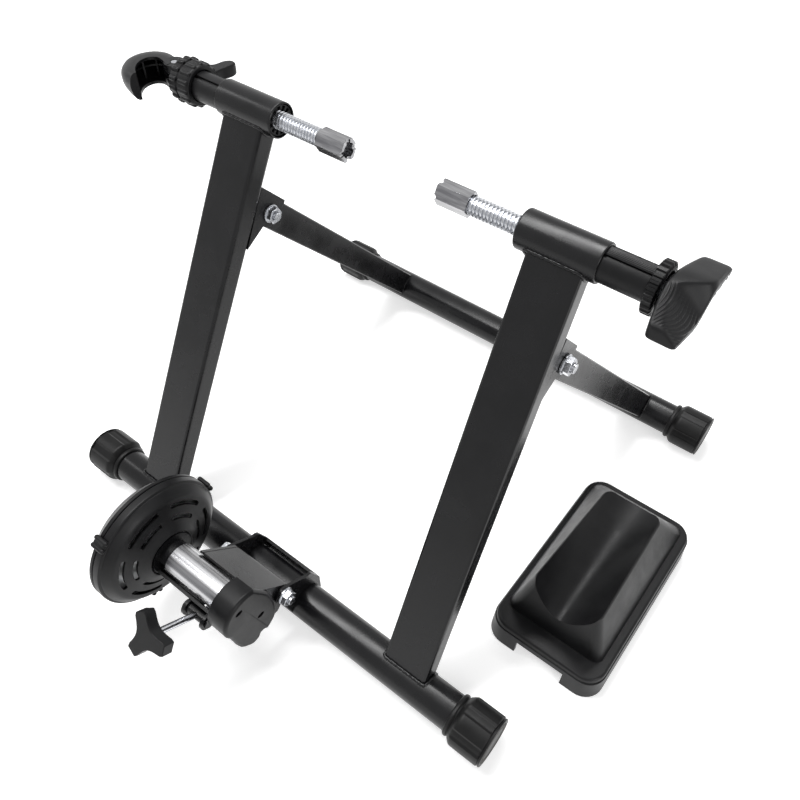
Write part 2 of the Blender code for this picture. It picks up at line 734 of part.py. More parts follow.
def left_lever():
    """Curved cam lever, open on its hollow side, turning on an upright pin."""
    pin = AXLE + ALONG_X * LEVER_PIN_X
    part = add_part("left_cam_lever", skinned(lever_rings(pin, 0, 0), flat=False), BLACK_PLASTIC, origin=pin)
    half = Vector((0, 0, LEVER_HEIGHT / 2 - GAP))
    join(part, rod(pin - half, pin + half, LEVER_HUB_RADIUS, segments=24))
    cut(part, skinned(lever_rings(pin, LEVER_WALL, LEVER_WALL)[1:-1], flat=False))
    slot_low = AXLE_Z - EYE_THICKNESS / 2 - GAP
    slot_high = AXLE_Z + EYE_THICKNESS / 2 + GAP
    reach = LEVER_HUB_RADIUS + 0.002
    cut(part, block(
        (pin.x - reach, pin.y - reach, slot_low), (pin.x + 2 * reach, pin.y + 2 * reach, slot_high)))
    through = Vector((0, 0, LEVER_HEIGHT))
    cut(part, rod(pin - through, pin + through, LEVER_PIN_RADIUS + GAP, segments=16))
    return pin


def right_handle():
    """Two-winged handle; each wing is thick on one side and scooped on the other."""
    rings = []
    stations = [(-along, *rest) for along, *rest in HANDLE_STATIONS]
    stations += list(reversed(HANDLE_STATIONS))
    for along, set_back, half, ridge in stations:
        start = HANDLE_START + set_back
        end = HANDLE_END - set_back * 0.15
        section = [(start, -half), (start, half), (start + ridge, half), (end, -half * 0.25),
                   (end, -half * 0.75), (end - 0.002, -half)]
        if along > 0:
            section = [(start, half), (start, -half), (start + ridge, -half), (end, half * 0.25),
                       (end, half * 0.75), (end - 0.002, half)]
            section = [section[index] for index in (1, 0, 5, 4, 3, 2)]
        rings.append([(x, AXLE_Y + along, AXLE_Z + z) for x, z in section])
    part = add_part("right_handle", skinned(rings, flat=False), BLACK_PLASTIC, origin=AXLE)
    cut(part, rod(
        AXLE + ALONG_X * (HANDLE_START - 0.01), AXLE + ALONG_X * SCREW_RIGHT_END,
        SCREW_RADIUS + GAP, segments=24))
    return part


LEVER_PIN_X = RING_LEFT_START - RING_LEFT_LENGTH - RUNNING_GAP - LEVER_HUB_RADIUS
SCREW_RIGHT_END = HANDLE_START + HANDLE_SCREW_DEPTH


def left_clamp():
    cup_back = axle_cup("left_axle_cup", CUP_LEFT_TIP, -1)
    pin = left_lever()
    eye_radius = SCREW_RADIUS - GAP
    screw = clamp_screw("left_clamp_screw", cup_back, pin.x, -1, AXLE)
    half = EYE_THICKNESS / 2
    reach = 2 * LEVER_HUB_RADIUS
    for side_of_eye in (1, -1):
        low = (pin.x - reach, AXLE_Y - reach, AXLE_Z + side_of_eye * half)
        high = (pin.x + reach, AXLE_Y + reach, AXLE_Z + side_of_eye * reach)
        lower = (low[0], low[1], min(low[2], high[2]))
        upper = (high[0], high[1], max(low[2], high[2]))
        cut(screw, block(lower, upper))
    join(screw, rod(
        pin - Vector((0, 0, half)), pin + Vector((0, 0, half)), eye_radius, segments=24))
    hole = Vector((0, 0, reach))
    cut(screw, rod(pin - hole, pin + hole, LEVER_PIN_RADIUS + GAP, segments=16))
    pin_half = Vector((0, 0, LEVER_HEIGHT / 2 - GAP))
    add_part(
        "left_cam_pin", rod(pin - pin_half, pin + pin_half, LEVER_PIN_RADIUS, segments=16), ZINC,
        origin=pin)
    sleeve("left_sleeve", -SLEEVE_INNER_END, RING_LEFT_START - RING_LEFT_LENGTH)
    left_ring()


def right_clamp():
    cup_back = axle_cup("right_axle_cup", CUP_RIGHT_TIP, 1)
    clamp_screw("right_clamp_screw", cup_back, SCREW_RIGHT_END - GAP, 1, AXLE)
    sleeve("right_sleeve", SLEEVE_INNER_END, RING_RIGHT_START - GAP)
    ring = lobed(side(AXLE), RING_RIGHT_RADIUS - 0.0006, 0.0006, 16, 0, 64)
    part = add_part(
        "right_lock_ring", plate([ring], RING_RIGHT_START, RING_RIGHT_START + RING_RIGHT_LENGTH),
        BLACK_PLASTIC, origin=AXLE)
    cut(part, rod(
        AXLE + ALONG_X * (RING_RIGHT_START - 0.01), AXLE + ALONG_X * (RING_RIGHT_START + 0.02),
        SCREW_RADIUS + GAP, segments=24))
    right_handle()


# Resistance unit

def from_roller(along, above):
    """Side-view point measured from the roller's axis."""
    return (ROLLER_Y + along, ROLLER_Z + above)


def roller_mount():
    """Bracket welded over the main tube, with two ears for the hinge bolt."""
    outline = arc(side(HINGE), EAR_RADIUS, 240, 80, 8)
    outline += arc(MOUNT_SHOULDER, MOUNT_SHOULDER_RADIUS, 85, 15, 6)
    outline += [(MOUNT_BACK_Y, MOUNT_BACK_TOP), (MOUNT_BACK_Y, AXIS_HEIGHT - 0.0060),
                (0, AXIS_HEIGHT), (-TUBE_RADIUS, AXIS_HEIGHT)]
    left = FRAME_LEFT - GAP - SHEET
    right = FRAME_RIGHT + GAP + SHEET
    part = add_part("roller_mount", plate([outline], left, right), BLACK_PAINT)
    inner_y = MOUNT_BACK_Y - SHEET
    low = (left + SHEET, HINGE_Y - 0.05, -0.05)
    high = (right - SHEET, inner_y, HINGE_Z + 0.05)
    cut(part, block(low, high))
    low = (left + SHEET, inner_y - 0.001, MOUNT_BACK_TOP)
    high = (right - SHEET, MOUNT_BACK_Y + 0.01, HINGE_Z + 0.05)
    cut(part, block(low, high))
    tube_reach = ALONG_X * 0.1
    cut(part, rod(
        MAIN_AXIS - tube_reach, MAIN_AXIS + tube_reach, TUBE_RADIUS + GAP, segments=32))
    cut(part, rod(
        HINGE - tube_reach, HINGE + tube_reach, HINGE_BOLT_RADIUS + GAP, segments=20))
    bolt_and_nut("roller_hinge", HINGE, left, right, HINGE_BOLT_RADIUS)


def cheek_outline():
    """Side view of the carrier's cheeks, from the hinge over the roller's ends to the tab."""
    outline = arc(side(HINGE), CHEEK_HINGE_RADIUS, -70, 45, 6)
    outline += arc(side(ROLLER_AXIS), WEB_DISTANCE, 45, 60, 2)
    outline += arc(side(ROLLER_AXIS), CHEEK_RADIUS, 66, 222, 12)
    outline += [from_roller(*point) for point in CHEEK_TAIL]
    return outline


def roller_frame():
    """Carrier: two cheeks and a sloping web, with a front strip that holds the housing's end."""
    right_cheek = plate([cheek_outline()], FRAME_RIGHT - SHEET, FRAME_RIGHT)
    part = add_part("roller_frame", right_cheek, BLACK_PAINT, origin=HINGE)
    left_outline = arc(side(HINGE), CHEEK_HINGE_RADIUS, -90, 45, 6)
    left_outline += [from_roller(*polar(WEB_DISTANCE, 45))]
    left_outline += arc(side(ROLLER_AXIS), WEB_DISTANCE - WEB_SHEET, 45, -60, 8)
    join(part, plate([left_outline], FRAME_LEFT, FRAME_LEFT + SHEET))
    web_top = WEB_DISTANCE - GAP
    hinge_top = CHEEK_HINGE_RADIUS - GAP
    outer_end = from_roller(*polar(web_top, 42))
    inner_end = from_roller(*polar(web_top - WEB_SHEET, 42))
    web = [
        outer_end, offset(HINGE, hinge_top, 45), offset(HINGE, hinge_top, 20),
        offset(HINGE, hinge_top - WEB_SHEET, 20), offset(HINGE, hinge_top - WEB_SHEET, 45),
        inner_end]
    join(part, plate([web], FRAME_LEFT + SHEET / 2, FRAME_RIGHT - SHEET / 2))
    strip = arc(side(ROLLER_AXIS), STRIP_RADIUS, 184, 236, 6)
    strip += arc(side(ROLLER_AXIS), STRIP_RADIUS - STRIP_SHEET, 236, 184, 6)
    end_plate_left = ROLLER_LEFT - RUNNING_GAP - BEARING_WIDTH - GAP
    join(part, plate([strip], end_plate_left - SHEET / 2, FRAME_RIGHT - SHEET / 2))
    left_start = ROLLER_AXIS + ALONG_X * (end_plate_left - SHEET)
    left_end = ROLLER_AXIS + ALONG_X * (ROLLER_LEFT - RUNNING_GAP)
    join(part, rod(left_start, left_end, BOSS_RADIUS, segments=32))
    join(part, rod(
        left_start + ALONG_X * RUNNING_GAP, left_start + ALONG_X * SHEET, END_PLATE_RADIUS,
        segments=40))
    right_start = ROLLER_AXIS + ALONG_X * (ROLLER_RIGHT + RUNNING_GAP)
    right_end = ROLLER_AXIS + ALONG_X * (FRAME_RIGHT - SHEET / 2)
    join(part, rod(right_start, right_end, BOSS_RADIUS, segments=32))
    for lug_low in (TENSION_X - LUG_SPACING / 2 - SHEET, TENSION_X + LUG_SPACING / 2):
        lug = arc(side(TENSION_BAR), LUG_RADIUS, 60, 320, 12)
        lug += [from_roller(*polar(STRIP_RADIUS - STRIP_SHEET / 2, 220)),
                from_roller(*polar(STRIP_RADIUS - STRIP_SHEET / 2, 190))]
        join(part, plate([lug], lug_low, lug_low + SHEET))
    bar_reach = ALONG_X * NUT_BAR_LENGTH
    cut(part, rod(
        TENSION_BAR - bar_reach, TENSION_BAR + bar_reach, NUT_BAR_RADIUS + GAP, segments=20))
    cut(part, rod(
        TENSION_BAR - TO_TUBE * 0.01, TENSION_BAR + TO_TUBE * 0.04,
        TENSION_ROD_RADIUS + 2 * RUNNING_GAP, segments=20))
    bearing_depth = BEARING_WIDTH + GAP
    cut(part, rod(
        left_end + ALONG_X * 0.001, left_end - ALONG_X * bearing_depth, BEARING_RADIUS + GAP))
    cut(part, rod(
        right_start - ALONG_X * 0.001, right_start + ALONG_X * bearing_depth,
        BEARING_RADIUS + GAP))
    shaft_reach = ALONG_X * 0.02
    cut(part, rod(
        left_start - shaft_reach, right_end + shaft_reach, SHAFT_RADIUS + RUNNING_GAP,
        segments=20))
    hinge_reach = ALONG_X * 0.08
    cut(part, rod(
        HINGE - hinge_reach, HINGE + hinge_reach, HINGE_BOLT_RADIUS + GAP, segments=20))
    return left_end, right_start


def roller_and_rotor(left_face, right_face):
    """Everything that turns with the roller, and the two bearings that hold it."""
    bore = SHAFT_RADIUS + GAP
    skin = [(ROLLER_RADIUS, ROLLER_RIGHT), (ROLLER_RADIUS, ROLLER_LEFT),
            (bore, ROLLER_LEFT), (bore, ROLLER_RIGHT)]
    add_part("roller", turned(skin, ROLLER_AXIS, 40), STEEL, origin=ROLLER_AXIS)
    rotor_back = HOUSING_SEAM - ROTOR_THICKNESS / 2
    rotor_front = rotor_back + ROTOR_THICKNESS
    shaft_left = rotor_back - ROTOR_THICKNESS / 3
    shaft_right = right_face.x + BEARING_WIDTH + 2 * RUNNING_GAP
    add_part("roller_shaft", rod(
        ROLLER_AXIS + ALONG_X * shaft_left, ROLLER_AXIS + ALONG_X * shaft_right, SHAFT_RADIUS,
        segments=20), STEEL, origin=ROLLER_AXIS)
    hub = rotor_front + ROTOR_HUB_LENGTH
    rotor_radius = HOUSING_RADIUS - HOUSING_WALL - ROTOR_CLEARANCE
    rotor = [(ROTOR_HUB_RADIUS, hub), (ROTOR_HUB_RADIUS, rotor_front),
             (rotor_radius, rotor_front), (rotor_radius, rotor_back),
             (bore, rotor_back), (bore, hub)]
    add_part("flywheel_rotor", turned(rotor, ROLLER_AXIS, 40), ALUMINIUM, origin=ROLLER_AXIS)
    for word, face, hand in (("left", left_face, -1), ("right", right_face, 1)):
        low, high = sorted((face.x, face.x + hand * BEARING_WIDTH))
        ring = [(BEARING_RADIUS, high), (BEARING_RADIUS, low), (bore, low), (bore, high)]
        add_part("bearing_" + word, turned(ring, ROLLER_AXIS, 24), STEEL)


def housing_front():
    """Inner half of the magnet housing, a shallow cone with arc-shaped vents."""
    wall = HOUSING_WALL
    seam = HOUSING_SEAM + GAP / 2
    shoulder = HOUSING_RADIUS - HOUSING_SHOULDER
    shoulder_x = HOUSING_SEAM + HOUSING_BAND + HOUSING_SHOULDER / 2
    slope = [(radius, HOUSING_FACE - drop) for radius, drop in HOUSING_SLOPE]
    outer = [(HOUSING_HOLE_RADIUS, HOUSING_FACE)] + slope + [
        (shoulder, shoulder_x), (HOUSING_RADIUS, HOUSING_SEAM + HOUSING_BAND)]
    inner = [(radius, x - wall) for radius, x in outer[:-2]] + [
        (shoulder - wall / 2, shoulder_x - wall), (HOUSING_RADIUS - wall, outer[-1][1] - wall / 2)]
    profile = outer + [(HOUSING_RADIUS, seam), (HOUSING_RADIUS - wall, seam)]
    profile += list(reversed(inner))
    part = add_part("housing_front", turned(profile, ROLLER_AXIS, 56), BLACK_PLASTIC)
    centre = side(ROLLER_AXIS)
    for group in range(VENT_GROUPS):
        middle = VENT_FIRST_ANGLE + 360 / VENT_GROUPS * group
        for inner, outer, half_span in VENT_RINGS:
            first = middle - half_span
            last = middle + half_span
            half = (outer - inner) / 2
            slot = arc(centre, outer, first, last, 6)
            slot += arc(from_roller(*polar(outer - half, last)), half, last + 36, last + 144, 3)
            slot += arc(centre, inner, last, first, 6)
            slot += arc(from_roller(*polar(outer - half, first)), half, first + 216, first + 324, 3)
            cut(part, plate([slot], HOUSING_FACE - 0.015, HOUSING_FACE + 0.005))


def housing_back():
    """Outer half of the magnet housing, a closed dish."""
    wall = HOUSING_WALL
    seam = HOUSING_SEAM - GAP / 2
    back_radius = HOUSING_RADIUS - HOUSING_BACK_STEP
    profile = [
        (0, HOUSING_BACK + wall), (back_radius - wall / 2, HOUSING_BACK + wall),
        (HOUSING_RADIUS - wall, seam - 0.003), (HOUSING_RADIUS - wall, seam),
        (HOUSING_RADIUS, seam), (HOUSING_RADIUS, seam - 0.003), (back_radius, HOUSING_BACK),
        (0, HOUSING_BACK)]
    add_part("housing_back", turned(profile, ROLLER_AXIS, 56), BLACK_PLASTIC)


def magnet_plate():
    """Steel disc with a ring of magnets, fixed in the back of the housing."""
    start = ROLLER_AXIS + ALONG_X * (HOUSING_BACK + HOUSING_WALL + GAP)
    end = start + ALONG_X * MAGNET_SHEET
    radius = HOUSING_RADIUS - HOUSING_BACK_STEP - HOUSING_WALL
    part = add_part("magnet_plate", rod(start, end, radius, segments=40), STEEL)
    for index in range(MAGNET_COUNT):
        angle = 2 * math.pi * index / MAGNET_COUNT
        spoke = Vector((0, math.cos(angle), math.sin(angle))) * (radius - MAGNET_EDGE)
        join(part, rod(
            start + spoke + ALONG_X * (MAGNET_SHEET / 2), end + spoke + ALONG_X * MAGNET_HEIGHT,
            MAGNET_RADIUS, segments=16))


def housing_clips():
    """Three screw bosses that clamp the two housing halves at their rims."""
    for number, degrees in enumerate(CLIP_ANGLES, start=1):
        angle = math.radians(degrees)
        spoke = Vector((0, math.cos(angle), math.sin(angle)))
        centre = ROLLER_AXIS + spoke * (HOUSING_RADIUS + GAP + CLIP_RADIUS)
        low = centre + ALONG_X * (HOUSING_SEAM - CLIP_BACK)
        high = centre + ALONG_X * (HOUSING_SEAM + CLIP_FRONT)
        add_part("housing_clip_" + str(number), rod(low, high, CLIP_RADIUS, segments=14),
                 BLACK_PLASTIC)


def end_cap():
    """Moulded cover over the right cheek, with a rim that wraps the roller's bearing boss."""
    face = arc(side(ROLLER_AXIS), CAP_RIM_RADIUS, CAP_RIM_FIRST, CAP_RIM_LAST, 20)
    face += [from_roller(*point) for point in CAP_TAIL]
    start = FRAME_RIGHT + GAP
    shape = plate([face], start, start + CAP_SKIN)
    soften(shape, 0.0010, rim_edge, segments=2)
    part = add_part("end_cap", shape, BLACK_PLASTIC)
    rim = arc(side(ROLLER_AXIS), CAP_RIM_RADIUS - 0.0011, CAP_RIM_FIRST, CAP_RIM_LAST, 20)
    rim += arc(side(ROLLER_AXIS), CAP_RIM_RADIUS - CAP_RIM_WALL, CAP_RIM_LAST, CAP_RIM_FIRST, 20)
    join(part, plate([rim], CAP_RIM_BACK, start + CAP_SKIN / 2))
    for along, above in CAP_HOLES:
        low = ROLLER_AXIS + Vector((start - 0.002, along - 0.0015, above))
        high = ROLLER_AXIS + Vector((start - 0.002, along + 0.0015, above))
        reach = ALONG_X * 0.01
        cut(part, rod(low, low + reach, 0.0024, segments=12))
        cut(part, rod(high, high + reach, 0.0024, segments=12))


def tension_screw():
    """Knob and screw that lift the roller towards the tyre by pushing on the main tube."""
    bar_half = ALONG_X * (NUT_BAR_LENGTH / 2)
    bar = add_part("tension_nut", rod(
        TENSION_BAR - bar_half, TENSION_BAR + bar_half, NUT_BAR_RADIUS, segments=16), ZINC,
        origin=TENSION_BAR)
    cut(bar, rod(
        TENSION_BAR - TO_TUBE * 0.02, TENSION_BAR + TO_TUBE * 0.02, TENSION_ROD_RADIUS + GAP,
        segments=16))
    tube_axis = MAIN_AXIS + ALONG_X * TENSION_X
    pad_face = tube_axis - TO_TUBE * (TUBE_RADIUS + RUNNING_GAP / 2)
    pad_back = pad_face - TO_TUBE * PAD_LENGTH
    pad = add_part("tip_pad", rod(
        pad_face, pad_back, PAD_RADIUS, segments=20), ZINC, origin=pad_back)
    socket_end = pad_face - TO_TUBE * PAD_FLOOR
    cut(pad, rod(
        socket_end, pad_back - TO_TUBE * 0.002, TENSION_ROD_RADIUS + GAP, segments=16))
    knob_centre = TENSION_BAR - TO_TUBE * TENSION_KNOB_DISTANCE
    knob_near = knob_centre + TO_TUBE * (KNOB_THICKNESS / 2)
    add_part("tension_screw", rod(
        socket_end - TO_TUBE * GAP, knob_centre, TENSION_ROD_RADIUS, segments=16), ZINC,
        origin=TENSION_BAR)
    outline = star(KNOB_LOBES, KNOB_FIRST_LOBE, KNOB_LOBE_SHAPE)
    shape = plate([outline], 0, KNOB_THICKNESS)
    soften(shape, 0.0015, rim_edge, segments=2)
    turn = ALONG_X.rotation_difference(-TO_TUBE).to_matrix().to_4x4()
    bmesh.ops.transform(shape, matrix=Matrix.Translation(knob_near) @ turn, verts=shape.verts)
    knob = add_part("tension_knob", shape, BLACK_PLASTIC, origin=TENSION_BAR)
    cut(knob, rod(
        knob_near + TO_TUBE * 0.002, knob_centre - TO_TUBE * GAP, TENSION_ROD_RADIUS + GAP,
        segments=16))


def polar(radius, degrees):
    """The (y, z) of a point at a distance and an angle."""
    angle = math.radians(degrees)
    return (radius * math.cos(angle), radius * math.sin(angle))


def offset(point, radius, degrees):
    """Side-view point at a distance and an angle from another point."""
    along, above = polar(radius, degrees)
    return (point.y + along, point.z + above)


# Front wheel riser block

def tapered_block(half_x, half_y, low, high, taper, corner, ease):
    """Box with rounded upright corners that narrows towards its top."""
    shape = block((-half_x, -half_y, low), (half_x, half_y, high))
    for vert in shape.verts:
        if vert.co.z > (low + high) / 2:
            vert.co.x *= (half_x - taper) / half_x
            vert.co.y *= (half_y - taper) / half_y

    def upright_edge(edge):
        first, last = edge.verts
        return abs(first.co.z - last.co.z) > (high - low) / 2

    def top_edge(edge):
        first, last = edge.verts
        return min(first.co.z, last.co.z) > high - 0.0001

    soften(shape, corner, upright_edge, segments=4)
    if ease > 0:
        soften(shape, ease, top_edge, segments=3)
    bmesh.ops.translate(shape, vec=(RISER_X, RISER_Y, 0), verts=shape.verts)
    return shape


def rounded_ring(half_front, half_back, front, back, corner, height_at):
    """Rounded rectangle around the dome's middle line, each point at the height for its y."""
    middle = RISER_X + RISER_DOME_SHIFT
    centres = (
        ((middle - half_front + corner, front + corner), 180),
        ((middle + half_front - corner, front + corner), 270),
        ((middle + half_back - corner, back - corner), 0),
        ((middle - half_back + corner, back - corner), 90))
    points = []
    for centre, first in centres:
        points += arc(centre, corner, first, first + 90, 4)
    return [(x, y, height_at(y)) for x, y in points]


def riser_top(y):
    """Height of the dome's top, which falls from the front to the back."""
    share = (y - DOME_FRONT) / (DOME_BACK - DOME_FRONT)
    return RISER_FRONT_HEIGHT + (RISER_BACK_HEIGHT - RISER_FRONT_HEIGHT) * share


def riser_dome(inset, foot, top=None):
    """The block's upper part: steep in front, long behind, its top falling towards the back."""
    corner = RISER_DOME_CORNER - inset
    half_foot = RISER_WIDTH / 2 - RISER_SIDE_SHELF - inset
    front = RISER_Y - RISER_LENGTH / 2 + RISER_FRONT_SHELF + inset
    back = RISER_Y + RISER_LENGTH / 2 - RISER_BACK_SHELF - inset
    rings = [rounded_ring(half_foot, half_foot, front, back, corner, lambda y: foot)]
    half_front = RISER_TOP_FRONT_WIDTH / 2 - inset
    half_back = RISER_TOP_BACK_WIDTH / 2 - inset
    if top is not None:
        share = (top - RISER_BASE_HEIGHT) / (RISER_FRONT_HEIGHT - RISER_BASE_HEIGHT)
        half_front = half_foot + (half_front - half_foot) * share
        front += RISER_FRONT_SLOPE * (top - RISER_BASE_HEIGHT)
        back -= RISER_BACK_SLOPE * (top - RISER_BASE_HEIGHT)
        rings.append(rounded_ring(half_front, half_front, front, back, corner, lambda y: top))
        return skinned(rings, flat=False)
    ease = RISER_DOME_EASE
    rings.append(rounded_ring(half_foot, half_foot, front, back, corner, lambda y: RISER_BASE_HEIGHT))
    rings.append(rounded_ring(
        half_front, half_back, DOME_FRONT, DOME_BACK, corner, lambda y: riser_top(y) - ease))
    rings.append(rounded_ring(
        half_front - ease, half_back - ease, DOME_FRONT + ease, DOME_BACK - ease, corner - ease,
        riser_top))
    return skinned(rings, flat=False)


def riser_trough():
    """Cutter for the wheel's trough, deep in front and shallow behind."""
    rings = []
    for share in (-0.15, 1.05):
        y = DOME_FRONT + (DOME_BACK - DOME_FRONT) * share
        half, depth = (
            first + (last - first) * share
            for first, last in zip(RISER_TROUGH_FRONT, RISER_TROUGH_BACK))
        top = riser_top(y)
        middle = RISER_X + RISER_DOME_SHIFT
        ring = []
        for step in range(17):
            across = -1 + step / 8
            ring.append((middle + half * across, y, top - depth * (1 - across * across)))
        ring.append((middle + half, y, top + depth + RISER_BASE_HEIGHT))
        ring.append((middle - half, y, top + depth + RISER_BASE_HEIGHT))
        rings.append(ring)
    return skinned(rings, flat=False)


DOME_FRONT = (RISER_Y - RISER_LENGTH / 2 + RISER_FRONT_SHELF
              + RISER_FRONT_SLOPE * (RISER_FRONT_HEIGHT - RISER_BASE_HEIGHT))
DOME_BACK = (RISER_Y + RISER_LENGTH / 2 - RISER_BACK_SHELF
             - RISER_BACK_SLOPE * (RISER_BACK_HEIGHT - RISER_BASE_HEIGHT))


def riser_block():
    """Hollow block with a trough for the bicycle's front wheel."""
    half_x = RISER_WIDTH / 2
    half_y = RISER_LENGTH / 2
    part = add_part("riser_block", tapered_block(
        half_x, half_y, 0, RISER_BASE_HEIGHT, RISER_BASE_TAPER, RISER_CORNER, 0.0020),
        BLACK_PLASTIC, origin=(RISER_X, RISER_Y, 0))
    join(part, riser_dome(0, RISER_BASE_HEIGHT / 2))
    cut(part, riser_trough())
    wall = RISER_WALL
    cut(part, tapered_block(
        half_x - wall, half_y - wall, -0.010, RISER_BASE_HEIGHT - wall, RISER_BASE_TAPER,
        RISER_CORNER - wall, 0))
    cut(part, riser_dome(wall, RISER_BASE_HEIGHT * 0.6, RISER_HOLLOW_HEIGHT))
    notch_low = (RISER_X - RISER_NOTCH_WIDTH / 2, RISER_Y - RISER_LENGTH, -0.001)
    notch_high = (RISER_X + RISER_NOTCH_WIDTH / 2, RISER_Y - half_y + RISER_FRONT_SHELF,
                  RISER_NOTCH_HEIGHT)
    cut(part, block(notch_low, notch_high))


def build_frames():
    floor_tube("main_tube", MAIN_AXIS, MAIN_TUBE_HALF_LENGTH)
    floor_tube("rear_tube", REAR_AXIS, REAR_TUBE_HALF_LENGTH)
    half_width = LEG_WIDTH / 2 + BRACKET_SIDE_GAP + BRACKET_SHEET
    for word, hand in (("left", -1), ("right", 1)):
        foot_cap("main_cap_" + word, MAIN_AXIS, hand, MAIN_TUBE_HALF_LENGTH)
        foot_cap("rear_cap_" + word, REAR_AXIS, hand, REAR_TUBE_HALF_LENGTH)
        upright("upright_" + word, hand)
        barrel("barrel_" + word, hand)
        hinge_bracket("hinge_bracket_" + word, hand)
        leg("leg_" + word, hand)
        bolt_and_nut(
            "pivot_" + word, PIVOT, hand * PIVOT_X - half_width, hand * PIVOT_X + half_width,
            PIVOT_BOLT_RADIUS)


def place_on_floor_centre():
    """Move everything so that the middle of its footprint is the origin."""
    depsgraph = bpy.context.evaluated_depsgraph_get()
    low = Vector((1, 1, 1))
    high = Vector((-1, -1, -1))
    for part in PARTS.objects:
        if part.type != "MESH":
            continue
        seen = part.evaluated_get(depsgraph)
        for corner in seen.bound_box:
            place = seen.matrix_world @ Vector(corner)
            low = Vector(map(min, low, place))
            high = Vector(map(max, high, place))
    TRAINER.location = (-(low.x + high.x) / 2, -(low.y + high.y) / 2, -low.z)


build_frames()
left_clamp()
right_clamp()
roller_mount()
LEFT_FACE, RIGHT_FACE = roller_frame()
roller_and_rotor(LEFT_FACE, RIGHT_FACE)
housing_front()
housing_back()
magnet_plate()
housing_clips()
end_cap()
tension_screw()
riser_block()
place_on_floor_centre()
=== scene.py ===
"""Looks of the magnetic bike trainer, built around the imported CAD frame.  Metres, +Z up."""
import json
import math

import bmesh
import bpy
from mathutils import Matrix, Vector


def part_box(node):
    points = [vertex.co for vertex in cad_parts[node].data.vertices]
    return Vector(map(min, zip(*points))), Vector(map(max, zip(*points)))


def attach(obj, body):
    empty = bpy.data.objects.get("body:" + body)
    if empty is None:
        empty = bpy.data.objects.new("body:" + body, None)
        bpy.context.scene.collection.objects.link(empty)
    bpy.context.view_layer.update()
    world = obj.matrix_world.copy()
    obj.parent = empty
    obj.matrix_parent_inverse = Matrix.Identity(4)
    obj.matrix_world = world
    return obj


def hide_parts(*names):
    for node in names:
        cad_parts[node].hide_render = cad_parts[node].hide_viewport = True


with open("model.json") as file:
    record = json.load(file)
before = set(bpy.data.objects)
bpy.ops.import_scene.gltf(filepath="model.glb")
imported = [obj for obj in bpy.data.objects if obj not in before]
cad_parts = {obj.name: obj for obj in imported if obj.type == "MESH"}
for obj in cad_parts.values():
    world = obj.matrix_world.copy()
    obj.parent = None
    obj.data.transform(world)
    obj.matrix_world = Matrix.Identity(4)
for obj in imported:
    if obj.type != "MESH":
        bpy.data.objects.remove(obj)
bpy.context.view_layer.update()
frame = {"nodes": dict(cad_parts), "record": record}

NODES = frame["nodes"]
SLOT_OF = {part["node"]: part["material_slot"] for part in frame["record"]["subparts"]}
BODY_OF = {
    node: body for body, nodes in frame["record"]["behaviour"]["bodies"].items() for node in nodes}


# Places read from the frame

def mm(*rows):
    """Rows of millimetres, in metres."""
    return [tuple(round(value / 1000, 7) for value in row) for row in rows]


def middle(node):
    low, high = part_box(node)
    return (low + high) / 2


MAIN_AXIS = middle("main_tube")
REAR_AXIS = middle("rear_tube")
AXLE = middle("barrel_left")
AXLE.x = MAIN_AXIS.x
ROLLER_AXIS = middle("roller")
ALONG_X = Vector((1, 0, 0))


def placed(name, data):
    """A new object in the scene."""
    made = bpy.data.objects.new(name, data)
    bpy.context.scene.collection.objects.link(made)
    return made


def as_mesh(name, shape):
    """A mesh of the shape, which is used up."""
    mesh = bpy.data.meshes.new(name)
    shape.to_mesh(mesh)
    shape.free()
    return mesh


# Camera: where the photographer stood, measured from the middle of the near floor tube

CAMERA_PLACE = Vector((0.3138, -0.2139, 0.6939))
CAMERA_YAW = math.radians(37.45)
CAMERA_PITCH = math.radians(-48.946)
CAMERA_ROLL = math.radians(0.5365)
CAMERA_LENS = 34.86


def add_camera():
    data = bpy.data.cameras.new("camera")
    data.lens = CAMERA_LENS
    data.sensor_width = 36
    data.clip_start = 0.01
    data.clip_end = 50
    camera = placed("camera", data)
    forward = Vector((
        -math.sin(CAMERA_YAW) * math.cos(CAMERA_PITCH),
        math.cos(CAMERA_YAW) * math.cos(CAMERA_PITCH),
        math.sin(CAMERA_PITCH)))
    level = Vector((math.cos(CAMERA_YAW), math.sin(CAMERA_YAW), 0))
    up = level.cross(forward)
    right = level * math.cos(CAMERA_ROLL) + up * math.sin(CAMERA_ROLL)
    up = up * math.cos(CAMERA_ROLL) - level * math.sin(CAMERA_ROLL)
    place = CAMERA_PLACE + Vector((MAIN_AXIS.x, MAIN_AXIS.y, 0))
    turn = Matrix((right, up, -forward)).transposed().to_4x4()
    camera.matrix_world = Matrix.Translation(place) @ turn
    bpy.context.scene.camera = camera
    return camera


# Materials

def fill(node, values):
    for name, value in values.items():
        node.inputs[name].default_value = value


def connect(tree, node, sources):
    for name, source in sources.items():
        tree.links.new(source, node.inputs[name])


def add_node(tree, kind, values, sources):
    """A node with values and sources for its inputs."""
    node = tree.nodes.new("ShaderNode" + kind)
    fill(node, values)
    connect(tree, node, sources)
    return node


def start_material(name, colour, roughness, metallic=0.0):
    made = bpy.data.materials.new(name)
    made.use_nodes = True
    tree = made.node_tree
    shader = tree.nodes["Principled BSDF"]
    fill(shader, {"Base Color": (*colour, 1.0), "Roughness": roughness, "Metallic": metallic})
    return made, tree, shader


def coordinates(tree, stretch=(1, 1, 1), kind="Object"):
    """Places in metres, or normals, stretched along an axis where the finish has a direction."""
    source = tree.nodes.new("ShaderNodeTexCoord").outputs[kind]
    return add_node(tree, "Mapping", {"Scale": stretch}, {"Vector": source}).outputs["Vector"]


